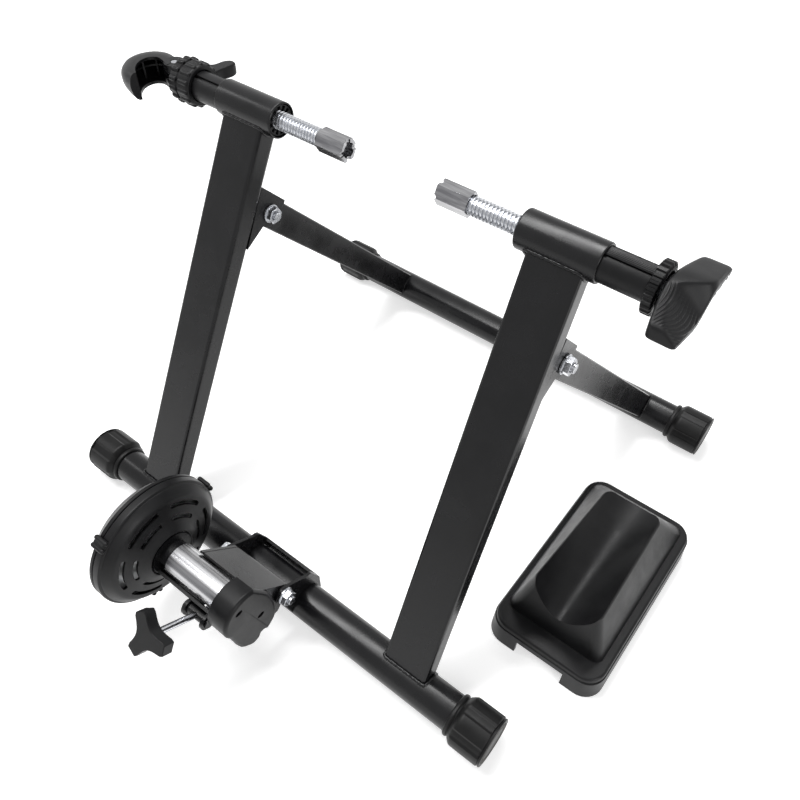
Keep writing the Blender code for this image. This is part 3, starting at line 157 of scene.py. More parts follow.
def noise(tree, place, scale, detail=2.0, rough=0.5):
    values = {"Scale": scale, "Detail": detail, "Roughness": rough}
    return add_node(tree, "TexNoise", values, {"Vector": place}).outputs["Fac"]


def spread(tree, factor, low, high):
    """A factor around one half, mapped to low and high."""
    values = {"From Min": 0.3, "From Max": 0.7, "To Min": low, "To Max": high}
    return add_node(tree, "MapRange", values, {"Value": factor}).outputs["Result"]


def two_tones(tree, factor, first, second):
    node = tree.nodes.new("ShaderNodeMix")
    node.data_type = "RGBA"
    fill(node, {"A": (*first, 1), "B": (*second, 1)})
    tree.links.new(factor, node.inputs["Factor"])
    return node.outputs["Result"]


def bump(tree, shader, height, strength, distance):
    values = {"Strength": strength, "Distance": distance}
    node = add_node(tree, "Bump", values, {"Height": height})
    tree.links.new(node.outputs["Normal"], shader.inputs["Normal"])


def coated_steel():
    """Satin black powder coat: fine orange peel, faint clouding and rubbed patches."""
    made, tree, shader = start_material("coated_steel", (0.005, 0.005, 0.006), 0.30)
    shader.inputs["Specular IOR Level"].default_value = 0.26
    place = coordinates(tree)
    cloud = noise(tree, place, 30, detail=4, rough=0.6)
    tone = two_tones(
        tree, spread(tree, cloud, 0, 1), (0.0030, 0.0030, 0.0035), (0.0062, 0.0062, 0.0070))
    connect(tree, shader, {"Base Color": tone, "Roughness": spread(tree, cloud, 0.21, 0.31)})
    bump(tree, shader, noise(tree, place, 420, detail=2), 0.05, 0.0002)
    return made


def moulded_plastic(name, low, high, roughness, grain=1800, depth=0.10, gloss=0.18):
    """Black plastic with a spark-eroded grain and slightly uneven gloss."""
    made, tree, shader = start_material(name, low, roughness)
    shader.inputs["Specular IOR Level"].default_value = gloss
    place = coordinates(tree)
    cloud = noise(tree, place, 55, detail=4, rough=0.6)
    connect(tree, shader, {
        "Base Color": two_tones(tree, spread(tree, cloud, 0, 1), low, high),
        "Roughness": spread(tree, cloud, roughness - 0.06, roughness + 0.06)})
    bump(tree, shader, noise(tree, place, grain, detail=3, rough=0.6), depth, 0.0002)
    return made


def facing_tone(tree, scale, squash):
    """Painted reflection: a cloudy light and dark tone that follows the way a surface faces, so each
    facet has its own.
    """
    # painted reflection: colour lighter or darker by the surface's facing, in place of what the metal
    # would reflect
    return noise(tree, coordinates(tree, squash, "Normal"), scale, detail=1.0)


def bright_metal(name, low, high, roughness, stretch, scale, depth, reflection_paint=(2.0, (1, 1, 1))):
    """Plated or turned metal: fine marks in one direction over a painted reflection, a light or dark
    tone for each facet.
    """
    made, tree, shader = start_material(name, low, roughness, metallic=1.0)
    marks = noise(tree, coordinates(tree, stretch), scale, detail=4, rough=0.6)
    # the tone is painted reflection by facing plus the real fine marks
    tone = tree.nodes.new("ShaderNodeMath")
    tone.operation = "ADD"
    tone.use_clamp = True
    # painted reflection: the facet tone, keyed to the way each surface faces
    tree.links.new(spread(tree, facing_tone(tree, *reflection_paint), -0.1, 0.9), tone.inputs[0])
    tree.links.new(spread(tree, marks, -0.16, 0.16), tone.inputs[1])
    connect(tree, shader, {
        "Base Color": two_tones(tree, tone.outputs["Value"], low, high),
        "Roughness": spread(tree, marks, roughness * 0.8, roughness * 1.25)})
    bump(tree, shader, marks, depth, 0.0001)
    return made


COATED = coated_steel()
PLASTIC = moulded_plastic(
    "moulded_plastic", (0.0045, 0.0045, 0.0050), (0.0085, 0.0085, 0.0092), 0.38)
RUBBER = moulded_plastic(
    "cap_rubber", (0.0040, 0.0040, 0.0042), (0.0080, 0.0080, 0.0080), 0.40, grain=1300)
CAP_END = moulded_plastic(
    "cap_end", (0.040, 0.038, 0.034), (0.085, 0.080, 0.072), 0.70, grain=900, depth=0.5, gloss=0.2)
# zinc takes the default painted reflection: a broad light and dark tone by the way each face looks
ZINC = bright_metal(
    "zinc_plate", (0.30, 0.31, 0.33), (0.72, 0.73, 0.76), 0.24, (1, 1, 1), 500, 0.12)
# the cups: painted reflection, each facet a lighter or darker tone by the way it faces
CHROME = bright_metal(
    "chrome_plate", (0.15, 0.15, 0.16), (0.80, 0.80, 0.81), 0.12, (0.1, 1, 1), 300, 0.05,
    reflection_paint=(5.2, (0.4, 1, 1)))
# the roller: painted reflection stripes along its length, lighter and darker by the way the surface
# faces round the axis; its lengthwise streaks are partly painted reflection, partly fine marks
TURNED = bright_metal(
    "turned_steel", (0.20, 0.20, 0.21), (0.76, 0.76, 0.77), 0.26, (0.01, 1, 1), 400, 0.02,
    reflection_paint=(3.2, (0, 1, 1)))
# aluminium takes the default painted reflection: a broad light and dark tone by the way each face
# looks
ALUMINIUM = bright_metal(
    "machined_aluminium", (0.50, 0.51, 0.52), (0.76, 0.77, 0.78), 0.32, (60, 1, 1), 30, 0.2)

FINISHES = {
    "black_paint": COATED, "black_rubber": RUBBER, "zinc_steel": ZINC, "chrome": CHROME,
    "steel": TURNED, "aluminium": ALUMINIUM, "black_plastic": PLASTIC}


# Pieces

MADE = set()


def add_piece(name, shape, node, finish=None, sharp=32):
    """Make a piece that rides with a CAD node's body and takes its material slot."""
    mesh = as_mesh(name, shape)
    mesh.shade_smooth()
    mesh.set_sharp_from_angle(angle=math.radians(sharp))
    mesh.materials.append(finish or FINISHES[SLOT_OF[node]])
    piece = placed(name, mesh)
    normals = piece.modifiers.new("normals", "WEIGHTED_NORMAL")
    normals.keep_sharp = True
    normals.weight = 80
    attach(piece, BODY_OF[node])
    return piece


def stand_in(name, shape, node, sharp=32):
    """A piece in place of a CAD node."""
    piece = add_piece(name, shape, node, sharp=sharp)
    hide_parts(node)
    MADE.add(node)


def eased(node, width=0.0005, segments=2, angle=35, name="_skin", sharp=32):
    """The node's own shape with its sharp edges rounded."""
    stand_in(node + name, bevelled(copied(node), width, segments, angle), node, sharp)


# Shape tools

def skin(shape, rings, first_cap=True, last_cap=True, closed=True):
    """Faces between rings of points."""
    loops = [[shape.verts.new(point) for point in ring] for ring in rings]
    count = len(loops[0])
    for low, high in zip(loops, loops[1:]):
        for index in range(count if closed else count - 1):
            after = (index + 1) % count
            shape.faces.new((low[index], low[after], high[after], high[index]))
    if first_cap:
        shape.faces.new(list(reversed(loops[0])))
    if last_cap:
        shape.faces.new(loops[-1])
    return loops


def tidy(shape):
    bmesh.ops.recalc_face_normals(shape, faces=shape.faces)
    return shape


def across(direction):
    """Two directions square to one another and to the given one."""
    direction = direction.normalized()
    helper = Vector((0, 0, 1)) if abs(direction.z) < 0.9 else Vector((0, 1, 0))
    first = helper.cross(direction).normalized()
    return first, direction.cross(first)


def solid(rings):
    """A closed shape from rings of points, its faces looking outwards."""
    shape = bmesh.new()
    skin(shape, rings)
    return tidy(shape)


def round_turn(count):
    """Angles of even steps round a circle."""
    return [2 * math.pi * step / count for step in range(count)]


def turned(shape, start, direction, profile, segments=48, radius_at=None, caps=(True, True)):
    """Rings about a line; profile gives (distance, radius); radius_at reshapes each ring."""
    direction = direction.normalized()
    first, second = across(direction)
    rings = []
    for distance, radius in profile:
        ring = []
        for angle in round_turn(segments):
            reach = radius_at(angle, distance, radius) if radius_at else radius
            ring.append(start + direction * distance
                        + (first * math.cos(angle) + second * math.sin(angle)) * reach)
        rings.append(ring)
    return skin(shape, rings, *caps)


def ring_along_x(start, profile, segments, hand=1, radius_at=None, near=0.00001):
    """A profile that ends where it begins, turned about a line along X."""
    shape = bmesh.new()
    turned(shape, start, ALONG_X * hand, profile, segments, radius_at, (False, False))
    bmesh.ops.remove_doubles(shape, verts=shape.verts, dist=near)
    return tidy(shape)


def bead(shape, points, radius, segments=8, closed=False):
    """A round bead along points, its thickness slightly uneven as a weld's is."""
    rings = []
    count = len(points)
    for index, point in enumerate(points):
        before = points[index - 1] if index or closed else point
        after = points[(index + 1) % count] if index + 1 < count or closed else point
        first, second = across(after - before)
        thick = radius * (1 + 0.14 * math.sin(index * 2.1) + 0.06 * math.sin(index * 0.7))
        if not closed and index in (0, count - 1):
            thick *= 0.45
        rings.append([
            point + (first * math.cos(angle) + second * math.sin(angle)) * thick
            for angle in round_turn(segments)])
    if closed:
        rings.append(rings[0])
    skin(shape, rings, not closed, not closed)


def between(points, steps):
    """A smooth curve through points, with steps pieces between each two."""
    made = []
    last = len(points) - 1
    for index in range(last):
        p0 = points[max(index - 1, 0)]
        p1, p2 = points[index], points[index + 1]
        p3 = points[min(index + 2, last)]
        for step in range(steps):
            t = step / steps
            made.append(tuple(
                0.5 * (2 * b + (c - a) * t + (2 * a - 5 * b + 4 * c - d) * t * t
                       + (3 * b - a - 3 * c + d) * t * t * t)
                for a, b, c, d in zip(p0, p1, p2, p3)))
    made.append(tuple(points[last]))
    return made


def smooth_step(value):
    value = min(max(value, 0.0), 1.0)
    return value * value * (3 - 2 * value)


def ridge(angle, centre, half, ramp):
    """One inside centre +- half, nought outside, with a soft edge; all in degrees."""
    away = abs((math.degrees(angle) - centre + 180) % 360 - 180)
    return 1 - smooth_step((away - half) / ramp)


def simplified(shape, near, flat):
    """Welds points closer than near and joins faces within flat degrees of one plane."""
    bmesh.ops.remove_doubles(shape, verts=shape.verts, dist=near)
    bmesh.ops.dissolve_limit(
        shape, angle_limit=math.radians(flat), verts=shape.verts, edges=shape.edges)


def copied(node):
    shape = bmesh.new()
    shape.from_mesh(NODES[node].data)
    simplified(shape, 0.000002, 0.6)
    return shape


def bevelled(shape, width, segments, angle):
    """Edges sharper than angle degrees, rounded."""
    limit = math.radians(angle)
    edges = [edge for edge in shape.edges
             if len(edge.link_faces) == 2 and edge.calc_face_angle(0) > limit]
    bmesh.ops.bevel(shape, geom=edges, offset=width, segments=segments, profile=0.5,
                    affect="EDGES", clamp_overlap=True)
    return shape


def lengthwise(node, hand):
    """Where a piece along X begins, its length and half its height."""
    low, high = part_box(node)
    return low.x if hand > 0 else high.x, high.x - low.x, (high.z - low.z) / 2


# Floor tubes' caps

PANEL_RADIUS = 0.0234
STRIP_RADIUS = 0.0221


def foot_cap(node, hand, turn):
    """Rubber cap: a lip round the tube, a sloped shoulder and broad panels between strips."""
    start, length, _ = lengthwise(node, hand)
    axis = MAIN_AXIS if node.startswith("main") else REAR_AXIS
    inner = Vector((start, axis.y, axis.z))
    profile = mm(
        (0, 17.2), (0, 18.4), (0.6, 19.2), (1.4, 19.6), (3, 19.7), (3.8, 19.3), (4.2, 18.4),
        (5, 18.4), (5.6, 19.6), (7.8, 21.8), (9.2, 22.9), (10.4, 23.3))
    profile += [(along, PANEL_RADIUS) for along in (0.0120, 0.0220, 0.0320, length - 0.0034)]
    profile += [(length - back, radius) for back, radius in mm(
        (2.8, 22.9), (2.4, 22), (1.8, 22), (1.5, 22.8), (0.6, 22.8), (0.1, 22.2), (0, 21),
        (0.3, 19.5))]

    def reach(angle, distance, radius):
        if not 0.006 < distance < length - 0.003:
            return radius
        share = smooth_step((distance - 0.006) / 0.005)
        panel = max(ridge(angle, turn + 60 * index, 17.5, 3.2) for index in range(6))
        lip = max(
            ridge(angle, turn + 60 * index + side * 20.5, 0.8, 1.6)
            for index in range(6) for side in (-1, 1))
        return radius - (PANEL_RADIUS - STRIP_RADIUS) * share * (1 - panel) + 0.00025 * lip * share

    shape = bmesh.new()
    turned(shape, inner, ALONG_X * hand, profile, 180, reach, (False, True))
    for vert in shape.verts:
        vert.co.z = max(vert.co.z, 0.0)
    stand_in(node + "_moulding", tidy(shape), node, sharp=24)

    disc = bmesh.new()
    face = inner + Vector((hand * (length - 0.0004), 0, 0))
    turned(disc, face, ALONG_X * hand, mm(
        (-0.6, 19.6), (0, 19.6), (0.4, 19.3), (0.4, 15), (0, 14.6), (-0.1, 8), (0, 4)), 72)
    add_piece(node + "_end", tidy(disc), node, finish=CAP_END)


# Barrels, sleeves, screws and cups on the axle line

AXLE_Y = AXLE.y
AXLE_Z = AXLE.z


def on_axle(x):
    return Vector((MAIN_AXIS.x + x, AXLE_Y, AXLE_Z))


def barrel(node, hand):
    """Welded tube with softened ends and a counterbored mouth."""
    inner, length, radius = lengthwise(node, hand)
    bore = 0.0131
    profile = [
        (0.0012, bore), (0.0002, bore + 0.0002), (0.0, bore + 0.0004), (0.0001, radius - 0.0011),
        (0.0004, radius - 0.0005), (0.0009, radius - 0.0001), (0.0016, radius),
        (length * 0.5, radius), (length - 0.0012, radius), (length - 0.0006, radius - 0.0001),
        (length - 0.0002, radius - 0.0004), (length, radius - 0.0008), (length, bore),
        (length - 0.004, bore - 0.0001), (0.0012, bore)]
    shape = ring_along_x(
        Vector((inner, AXLE_Y, AXLE_Z)), profile, 96, hand, near=0.000002)
    stand_in(node + "_tube", shape, node, sharp=40)


SLEEVE_SLOTS = (62, 118, 242, 298)
SLEEVE_TEETH = 12
SLOT_DEPTH = 0.0022
TOOTH_DEPTH = 0.0022


def sleeve(node, hand, ribbed):
    """Moulded bush: lengthwise slots outside, teeth round its bore at the mouth."""
    inner, length, outer = lengthwise(node, hand)
    mouth = Vector((inner, AXLE_Y, AXLE_Z))
    bore = outer - 0.0045

    def reach(angle, distance, radius):
        if radius < outer - 0.0002 or distance < 0.055:
            return radius
        slot = max(ridge(angle, place, 4.0, 2.0) for place in SLEEVE_SLOTS)
        rib = 0
        if ribbed:
            for place in SLEEVE_SLOTS[::2]:
                inside = ridge(angle, place + 28, 22, 2)
                rib = max(rib, inside * (0.5 - 0.5 * math.cos(angle * 60)))
        return radius - SLOT_DEPTH * slot - 0.00035 * rib

    profile = [(0.0, outer - 0.0005), (0.0005, outer), (0.052, outer), (0.0551, outer),
               (length * 0.8, outer), (length - 0.0005, outer), (length, outer - 0.0004),
               (length, bore), (length - 0.003, bore), (0.004, bore)]
    shape = bmesh.new()
    segments = 240
    turned(shape, mouth, ALONG_X * hand, profile, segments, reach, (False, False))
    first, second = across(ALONG_X * hand)
    ends = []
    for step, (distance, radius) in enumerate((
            (0.0, outer - 0.0005), (0.0002, outer - 0.0012), (0.0002, outer - 0.0015),
            (0.0002, bore + 0.0006), (0.0006, bore), (0.004, bore))):
        ring = []
        for angle in round_turn(segments):
            sink = 0.0
            if 1 < step < 4:
                sink = TOOTH_DEPTH * smooth_step(0.5 + 2.2 * math.cos(SLEEVE_TEETH * angle))
            ring.append(mouth + ALONG_X * hand * (distance + sink)
                        + (first * math.cos(angle) + second * math.sin(angle)) * radius)
        ends.append(ring)
    skin(shape, ends, False, False)
    bmesh.ops.remove_doubles(shape, verts=shape.verts, dist=0.000004)
    stand_in(node + "_bush", tidy(shape), node, sharp=28)


# Coarse thread of the clamp screws
PITCH = 0.0030
CREST = 0.0074
ROOT = 0.0059


def thread(shape, start_x, end_x, direction, columns=36):
    """Trapezoid thread as one spiral of faces, ended flat at both ends."""
    rows = [(0.00, ROOT), (0.20, ROOT), (0.36, CREST), (0.64, CREST), (0.80, ROOT)]
    length = end_x - start_x
    turns = int(length / PITCH) + 2
    first, second = across(direction)
    grid = []
    for row in range(turns * len(rows) + 1):
        share, radius = rows[row % len(rows)]
        base = (row // len(rows) - 1 + share) * PITCH
        line = []
        for column in range(columns):
            angle = 2 * math.pi * column / columns
            along = base + PITCH * column / columns
            along = min(max(along, 0.0), length)
            line.append(shape.verts.new(
                on_axle(0) + direction * (start_x + along)
                + (first * math.cos(angle) + second * math.sin(angle)) * radius))
        grid.append(line)
    count = len(rows)
    for row in range(len(grid) - 1):
        for column in range(columns):
            if column + 1 < columns:
                corners = (grid[row][column], grid[row][column + 1],
                           grid[row + 1][column + 1], grid[row + 1][column])
            elif row + count + 1 < len(grid):
                corners = (grid[row][column], grid[row + count][0],
                           grid[row + count + 1][0], grid[row + 1][column])
            else:
                continue
            if len({tuple(round(value, 7) for value in corner.co) for corner in corners}) > 2:
                shape.faces.new(corners)


def clamp_screw(node, hand, last):
    """The node's own bar and end, with a rolled coarse thread where it shows."""
    near = CUP_BACKS[hand]
    shape = copied(node)
    # the bar is waisted to the thread's root along the threaded stretch
    edges = [edge for edge in shape.edges if abs(edge.verts[0].co.x - edge.verts[1].co.x) > 0.02]
    bmesh.ops.subdivide_edges(shape, edges=edges, cuts=64)
    for vert in shape.verts:
        reach = Vector((0, vert.co.y - AXLE_Y, vert.co.z - AXLE_Z))
        along = (vert.co.x - MAIN_AXIS.x) * hand
        if reach.length > 0.0066 and near - 0.0002 < along < last:
            vert.co -= reach * (1 - (ROOT - 0.0002) / reach.length)
    thread(shape, near + 0.0002, last, ALONG_X * hand)
    stand_in(node + "_threaded", tidy(shape), node, sharp=30)


def ribs_round(name, node, centre_x, length, radius, rib, count, skip=()):
    """Rounded ribs along the axle line, set round a ring."""
    shape = bmesh.new()
    half = length / 2
    for index in range(count):
        angle = 360 / count * index
        if any(abs((angle - place + 180) % 360 - 180) < width for place, width in skip):
            continue
        turn = math.radians(angle)
        spoke = Vector((0, math.cos(turn), math.sin(turn)))
        middle = on_axle(centre_x) + spoke * radius
        profile = [(-half, rib * 0.55), (-half + rib * 0.4, rib * 0.9), (-half + rib * 0.9, rib),
                   (half - rib * 0.9, rib), (half - rib * 0.4, rib * 0.9), (half, rib * 0.55)]
        turned(shape, middle, ALONG_X, profile, 14)
    return add_piece(name, tidy(shape), node, sharp=50)


# Ring nuts, cam lever and handle

def modified(shape, kind, **settings):
    """The shape after one modifier."""
    mesh = as_mesh("work", shape)
    work = placed("work", mesh)
    step = work.modifiers.new("step", kind)
    for name, value in settings.items():
        setattr(step, name, value)
    bpy.context.view_layer.update()
    graph = bpy.context.evaluated_depsgraph_get()
    result = bpy.data.meshes.new_from_object(work.evaluated_get(graph))
    made = bmesh.new()
    made.from_mesh(result)
    bpy.data.objects.remove(work)
    bpy.data.meshes.remove(mesh)
    bpy.data.meshes.remove(result)
    return made


def combined(shape, tool, operation):
    mesh = as_mesh("tool", tidy(tool))
    other = placed("tool", mesh)
    made = modified(tidy(shape), "BOOLEAN", operation=operation, solver="EXACT", object=other)
    bpy.data.objects.remove(other)
    bpy.data.meshes.remove(mesh)
    return made


def rounded_edges(shape, width, segments, angle):
    simplified(shape, 0.00001, 0.4)
    bevelled(shape, width, segments, angle)


def bar(start, end, radius):
    shape = bmesh.new()
    turned(shape, start, end - start, [(0, radius), ((end - start).length, radius)], 32)
    return shape


def box_shape(low, high):
    shape = bmesh.new()
    bmesh.ops.create_cube(shape, size=1)
    for vert in shape.verts:
        vert.co = Vector((
            low[0] if vert.co.x < 0 else high[0], low[1] if vert.co.y < 0 else high[1],
            low[2] if vert.co.z < 0 else high[2]))
    return shape


HANDLE_START = 0.2190
HANDLE_END = 0.2460
HANDLE_STATIONS = mm(
    (42, 7.2, 4.8, 11), (38.5, 5.2, 7.2, 9), (27, 3, 10, 7), (15, 1, 13, 6), (6, 0, 15, 6))


def handle():
    """Two soft wings, each scooped on one flank, with raised grip lines in the scoop."""
    low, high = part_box("right_handle")
    rings = []
    stations = [(-along, *rest) for along, *rest in HANDLE_STATIONS]
    stations += list(reversed(HANDLE_STATIONS))
    for along, set_back, half, ridge_width in stations:
        start = HANDLE_START + set_back
        end = HANDLE_END - set_back * 0.15
        if along > 0:
            half = -half
        section = [(start, -half), (start, half), (start + ridge_width, half),
                   (end, -half * 0.25), (end, -half * 0.75), (end - 0.002, -half)]
        if along > 0:
            section = [section[index] for index in (1, 0, 5, 4, 3, 2)]
        rings.append([on_axle(x) + Vector((0, along, z)) for x, z in section])
    cage = solid(rings)
    crease = cage.edges.layers.float.new("crease_edge")
    for edge in cage.edges:
        first, last = edge.verts
        lengthwise = abs(first.co.y - last.co.y) > 0.002
        edge[crease] = 0.42 if lengthwise else 0.10
        if len(edge.link_faces) == 2 and any(len(face.verts) > 4 for face in edge.link_faces):
            edge[crease] = 0.28
    shape = modified(cage, "SUBSURF", levels=5, render_levels=5)
    corners = [[extreme(vert.co[axis] for vert in shape.verts) for extreme in (min, max)]
               for axis in range(3)]
    for vert in shape.verts:
        for axis in range(3):
            first, last = corners[axis]
            share = (vert.co[axis] - first) / (last - first)
            vert.co[axis] = low[axis] + (high[axis] - low[axis]) * share
    shape.normal_update()
    moves = []
    for vert in shape.verts:
        along = vert.co.y - AXLE_Y
        wing = -1 if along < 0 else 1
        scoop = smooth_step((vert.normal.z * -wing - 0.05) / 0.25)
        scoop *= smooth_step((vert.normal.x + 0.15) / 0.3)
        scoop *= (smooth_step((abs(along) - 0.006) / 0.006)
                  * smooth_step((0.040 - abs(along)) / 0.004))
        across_scoop = (vert.co.x - MAIN_AXIS.x) * 0.9 + 0.35 * (abs(along) - 0.02) ** 2 * 40
        line = smooth_step(0.5 + 0.9 * math.cos(2 * math.pi * across_scoop / 0.0021))
        moves.append((vert, vert.normal.copy() * (0.0007 * scoop * (line - 0.5))))
    for vert, move in moves:
        vert.co += move
    stand_in("right_handle_grip", tidy(shape), "right_handle", sharp=75)


LEVER_INNER_EDGE = mm(
    (0, -8), (-9, -5), (-17, -4), (-22.5, -8), (-24, -14), (-22.5, -20.5), (-18.5, -26.5),
    (-13.5, -31), (-9.5, -33.5))
LEVER_OUTER_EDGE = mm(
    (0, 9), (-11, 14), (-25, 16), (-38.5, 10.5), (-46.5, -2), (-46.5, -16.5), (-39, -28.5),
    (-27, -36.5), (-12, -40.5))
LEVER_SWELL = ((0.0, 1.0), (0.22, 0.99), (0.42, 0.94), (0.60, 0.84), (0.76, 0.70), (0.88, 0.50),
               (0.95, 0.32), (0.985, 0.16))
LEVER_HEIGHT = 0.0240
LEVER_WALL = 0.0025


def lever_strips():
    """Starts, directions and lengths across the lever, from its inner to its outer edge."""
    strips = []
    for inner, outer in zip(between(LEVER_INNER_EDGE, 4), between(LEVER_OUTER_EDGE, 4)):
        start = Vector((*inner, 0))
        way = Vector((*outer, 0)) - start
        strips.append((start, way.normalized(), way.length))
    return strips


def lever_rings(pin, inset, opening, first=0, last=None):
    rings = []
    for inner, side, width in lever_strips()[first:last]:
        half = LEVER_HEIGHT / 2 - inset
        depth = width - inset
        places = [(depth * share, half * swell) for share, swell in LEVER_SWELL]
        if opening:
            places = [(-opening, half)] + places[1:]
        upper = [inner + side * along + Vector((0, 0, rise)) for along, rise in places]
        lower = [inner + side * along - Vector((0, 0, rise)) for along, rise in places]
        rings.append([pin + point for point in upper + list(reversed(lower))])
    return rings


def lever():
    """Hooded cam lever: hollow inside its bend, with thin ribs in the hollow."""
    pin_low, pin_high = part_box("left_cam_pin")
    pin = Vector(((pin_low.x + pin_high.x) / 2, AXLE_Y, AXLE_Z))
    hollow = solid(lever_rings(pin, LEVER_WALL, LEVER_WALL, 5, -4))
    shape = combined(solid(lever_rings(pin, 0, 0)), hollow, "DIFFERENCE")
    half = Vector((0, 0, LEVER_HEIGHT / 2 - 0.0003))
    shape = combined(shape, bar(pin - half, pin + half, 0.0090), "UNION")
    reach = 0.0110
    shape = combined(shape, box_shape(
        (pin.x - reach, pin.y - reach, AXLE_Z - 0.0048),
        (pin.x + 2 * reach, pin.y + 2 * reach, AXLE_Z + 0.0048)), "DIFFERENCE")
    through = Vector((0, 0, LEVER_HEIGHT))
    shape = combined(shape, bar(pin - through, pin + through, 0.0033), "DIFFERENCE")
    rounded_edges(shape, 0.0007, 3, 42)
    stand_in("left_cam_lever_hood", tidy(shape), "left_cam_lever", sharp=38)

    strips = lever_strips()
    ribs = bmesh.new()
    for index in (11, 16, 21):
        inner, side, width = strips[index]
        thick = Vector((-side.y, side.x, 0)) * 0.0007
        depth = width - 0.0015
        top = LEVER_HEIGHT / 2 - 0.0015
        upper = [(0.0090, top)] + [(depth * share, top * swell) for share, swell in (
            (0.42, 0.94), (0.76, 0.70), (0.95, 0.34))]
        lower = [(along, -z) for along, z in reversed(upper)]
        outline = lower[-1:] + upper + lower[:-1]
        skin(ribs, [[pin + inner + side * along + Vector((0, 0, z)) + thick * sign
                     for along, z in outline] for sign in (-1, 1)])
    spine = []
    for inner, side, depth in strips[8:-5]:
        spine.append([pin + inner + side * along + Vector((0, 0, z)) for along, z in (
            (0.0105, -0.0007), (0.0105, 0.0007), (depth - 0.0012, 0.0007),
            (depth - 0.0012, -0.0007))])
    skin(ribs, spine)
    add_piece("left_cam_lever_ribs", tidy(ribs), "left_cam_lever")


RING_LEFT_START = -0.2050
RING_LEFT_END = -0.2280


def ring_nut():
    """Ring nut with a smooth core, rounded ribs and one long thumb wing."""
    start = on_axle(RING_LEFT_END)
    length = RING_LEFT_START - RING_LEFT_END
    bore = 0.0133
    profile = [(0.0004, bore), (0.0, bore + 0.0004)] + mm(
        (0, 16.6), (0.8, 17.6), (5, 17.9), (8, 17.9), (8.6, 17.1), (9.8, 17.1), (10.4, 17.9))
    profile += [(length - back, radius) for back, radius in mm((3, 17.8), (1, 17.2), (0, 16))]
    profile += [(length, bore + 0.0004), (length - 0.0004, bore), (0.0004, bore)]
    stand_in("left_ring_nut_core", ring_along_x(start, profile, 96), "left_ring_nut", sharp=35)
    middle = (RING_LEFT_START + RING_LEFT_END) / 2
    ribs_round("left_ring_nut_ribs", "left_ring_nut", middle - 0.0070, 0.0082, 0.0167, 0.0027, 14)
    ribs_round("left_ring_nut_ribs_inner", "left_ring_nut", middle + 0.0048, 0.0118, 0.0163,
               0.0027, 14, skip=((0, 18),))

    outline = between(mm(
        (1.2, 15), (2, 19), (7.2, 24), (9.8, 30), (11.2, 36), (15, 40.8), (20, 41.2),
        (22.4, 37.2), (22, 31), (20.6, 25), (20.4, 19), (20, 15)), 4)
    rings = []
    for rise, inset in mm((-5.5, 2.4), (-5.2, 1), (-4.3, 0.2), (-3, 0), (3, 0), (4.3, 0.2),
                          (5.2, 1), (5.5, 2.4)):
        ring = []
        for x, y in outline:
            toward = Vector((0.0110 + 0.0035 * (y - 0.015) / 0.026 - x, 0.0260 - y))
            scale = inset / max(toward.length, 0.001)
            ring.append(on_axle(RING_LEFT_END + x + toward.x * scale)
                        + Vector((0, y + toward.y * scale, rise)))
        rings.append(ring)
    add_piece("left_ring_nut_wing", solid(rings), "left_ring_nut", sharp=40)


LOCK_RING_TEETH = 24
LOCK_RING_TOOTH_DEPTH = 0.0013


def lock_ring():
    """Lock ring with square teeth round its rim."""
    low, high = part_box("right_lock_ring")
    length = high.x - low.x
    rim = (high.z - low.z) / 2
    bore = 0.0133

    def reach(angle, distance, radius):
        if radius < 0.016:
            return radius
        tooth = smooth_step(0.5 + 1.8 * math.cos(LOCK_RING_TEETH * angle))
        return radius - LOCK_RING_TOOTH_DEPTH * (1 - tooth)

    profile = [
        (0.0, bore), (0.0, rim - 0.0022), (0.0004, rim - 0.0010), (0.0010, rim),
        (length - 0.0010, rim), (length - 0.0004, rim - 0.0010), (length, rim - 0.0022),
        (length, bore), (0.0, bore)]
    shape = ring_along_x(Vector((low.x, AXLE_Y, AXLE_Z)), profile, 288, radius_at=reach)
    stand_in("right_lock_ring_teeth", shape, "right_lock_ring")


# Welds

UP_ALONG = (AXLE - MAIN_AXIS).normalized()
BEHIND = Vector((0, UP_ALONG.z, -UP_ALONG.y))
TUBE_RADIUS = 0.0170
BARREL_RADIUS = 0.0148
UPRIGHT_FOOT_X = 0.1590
UPRIGHT_HEAD_X = 0.1460
UPRIGHT_WIDTH = 0.0440
UPRIGHT_DEPTH = 0.0200
LEG_FOOT_X = 0.1700
LEG_WIDTH = 0.0340
LEG_DEPTH = 0.0270


def saddle(axis, x, along, square, half_width, half_depth, radius, toward):
    """Points round a rectangular bar where it meets a tube along X, a little over the steel."""
    half_width += 0.0004
    half_depth += 0.0004
    corner = 0.0025
    outline = []
    for cx, cy, first in ((1, 1, 0), (-1, 1, 90), (-1, -1, 180), (1, -1, 270)):
        for step in range(4):
            angle = math.radians(first + step * 30)
            outline.append((cx * (half_width - corner) + corner * math.cos(angle),
                            cy * (half_depth - corner) + corner * math.sin(angle)))
    points = []
    for index, (u, v) in enumerate(outline):
        after_u, after_v = outline[(index + 1) % len(outline)]
        pieces = max(1, int(max(abs(after_u - u), abs(after_v - v)) / 0.0016))
        for step in range(pieces):
            share = step / pieces
            uu = u + (after_u - u) * share
            vv = v + (after_v - v) * share
            rise = math.sqrt(max(radius * radius - vv * vv, 0))
            points.append(axis + Vector((x + uu, 0, 0)) + square * vv + along * (rise * toward))
    return points


def weld(name, node, points, radius=0.0013):
    shape = bmesh.new()
    bead(shape, points, radius, closed=True)
    add_piece(name, tidy(shape), node, sharp=60)


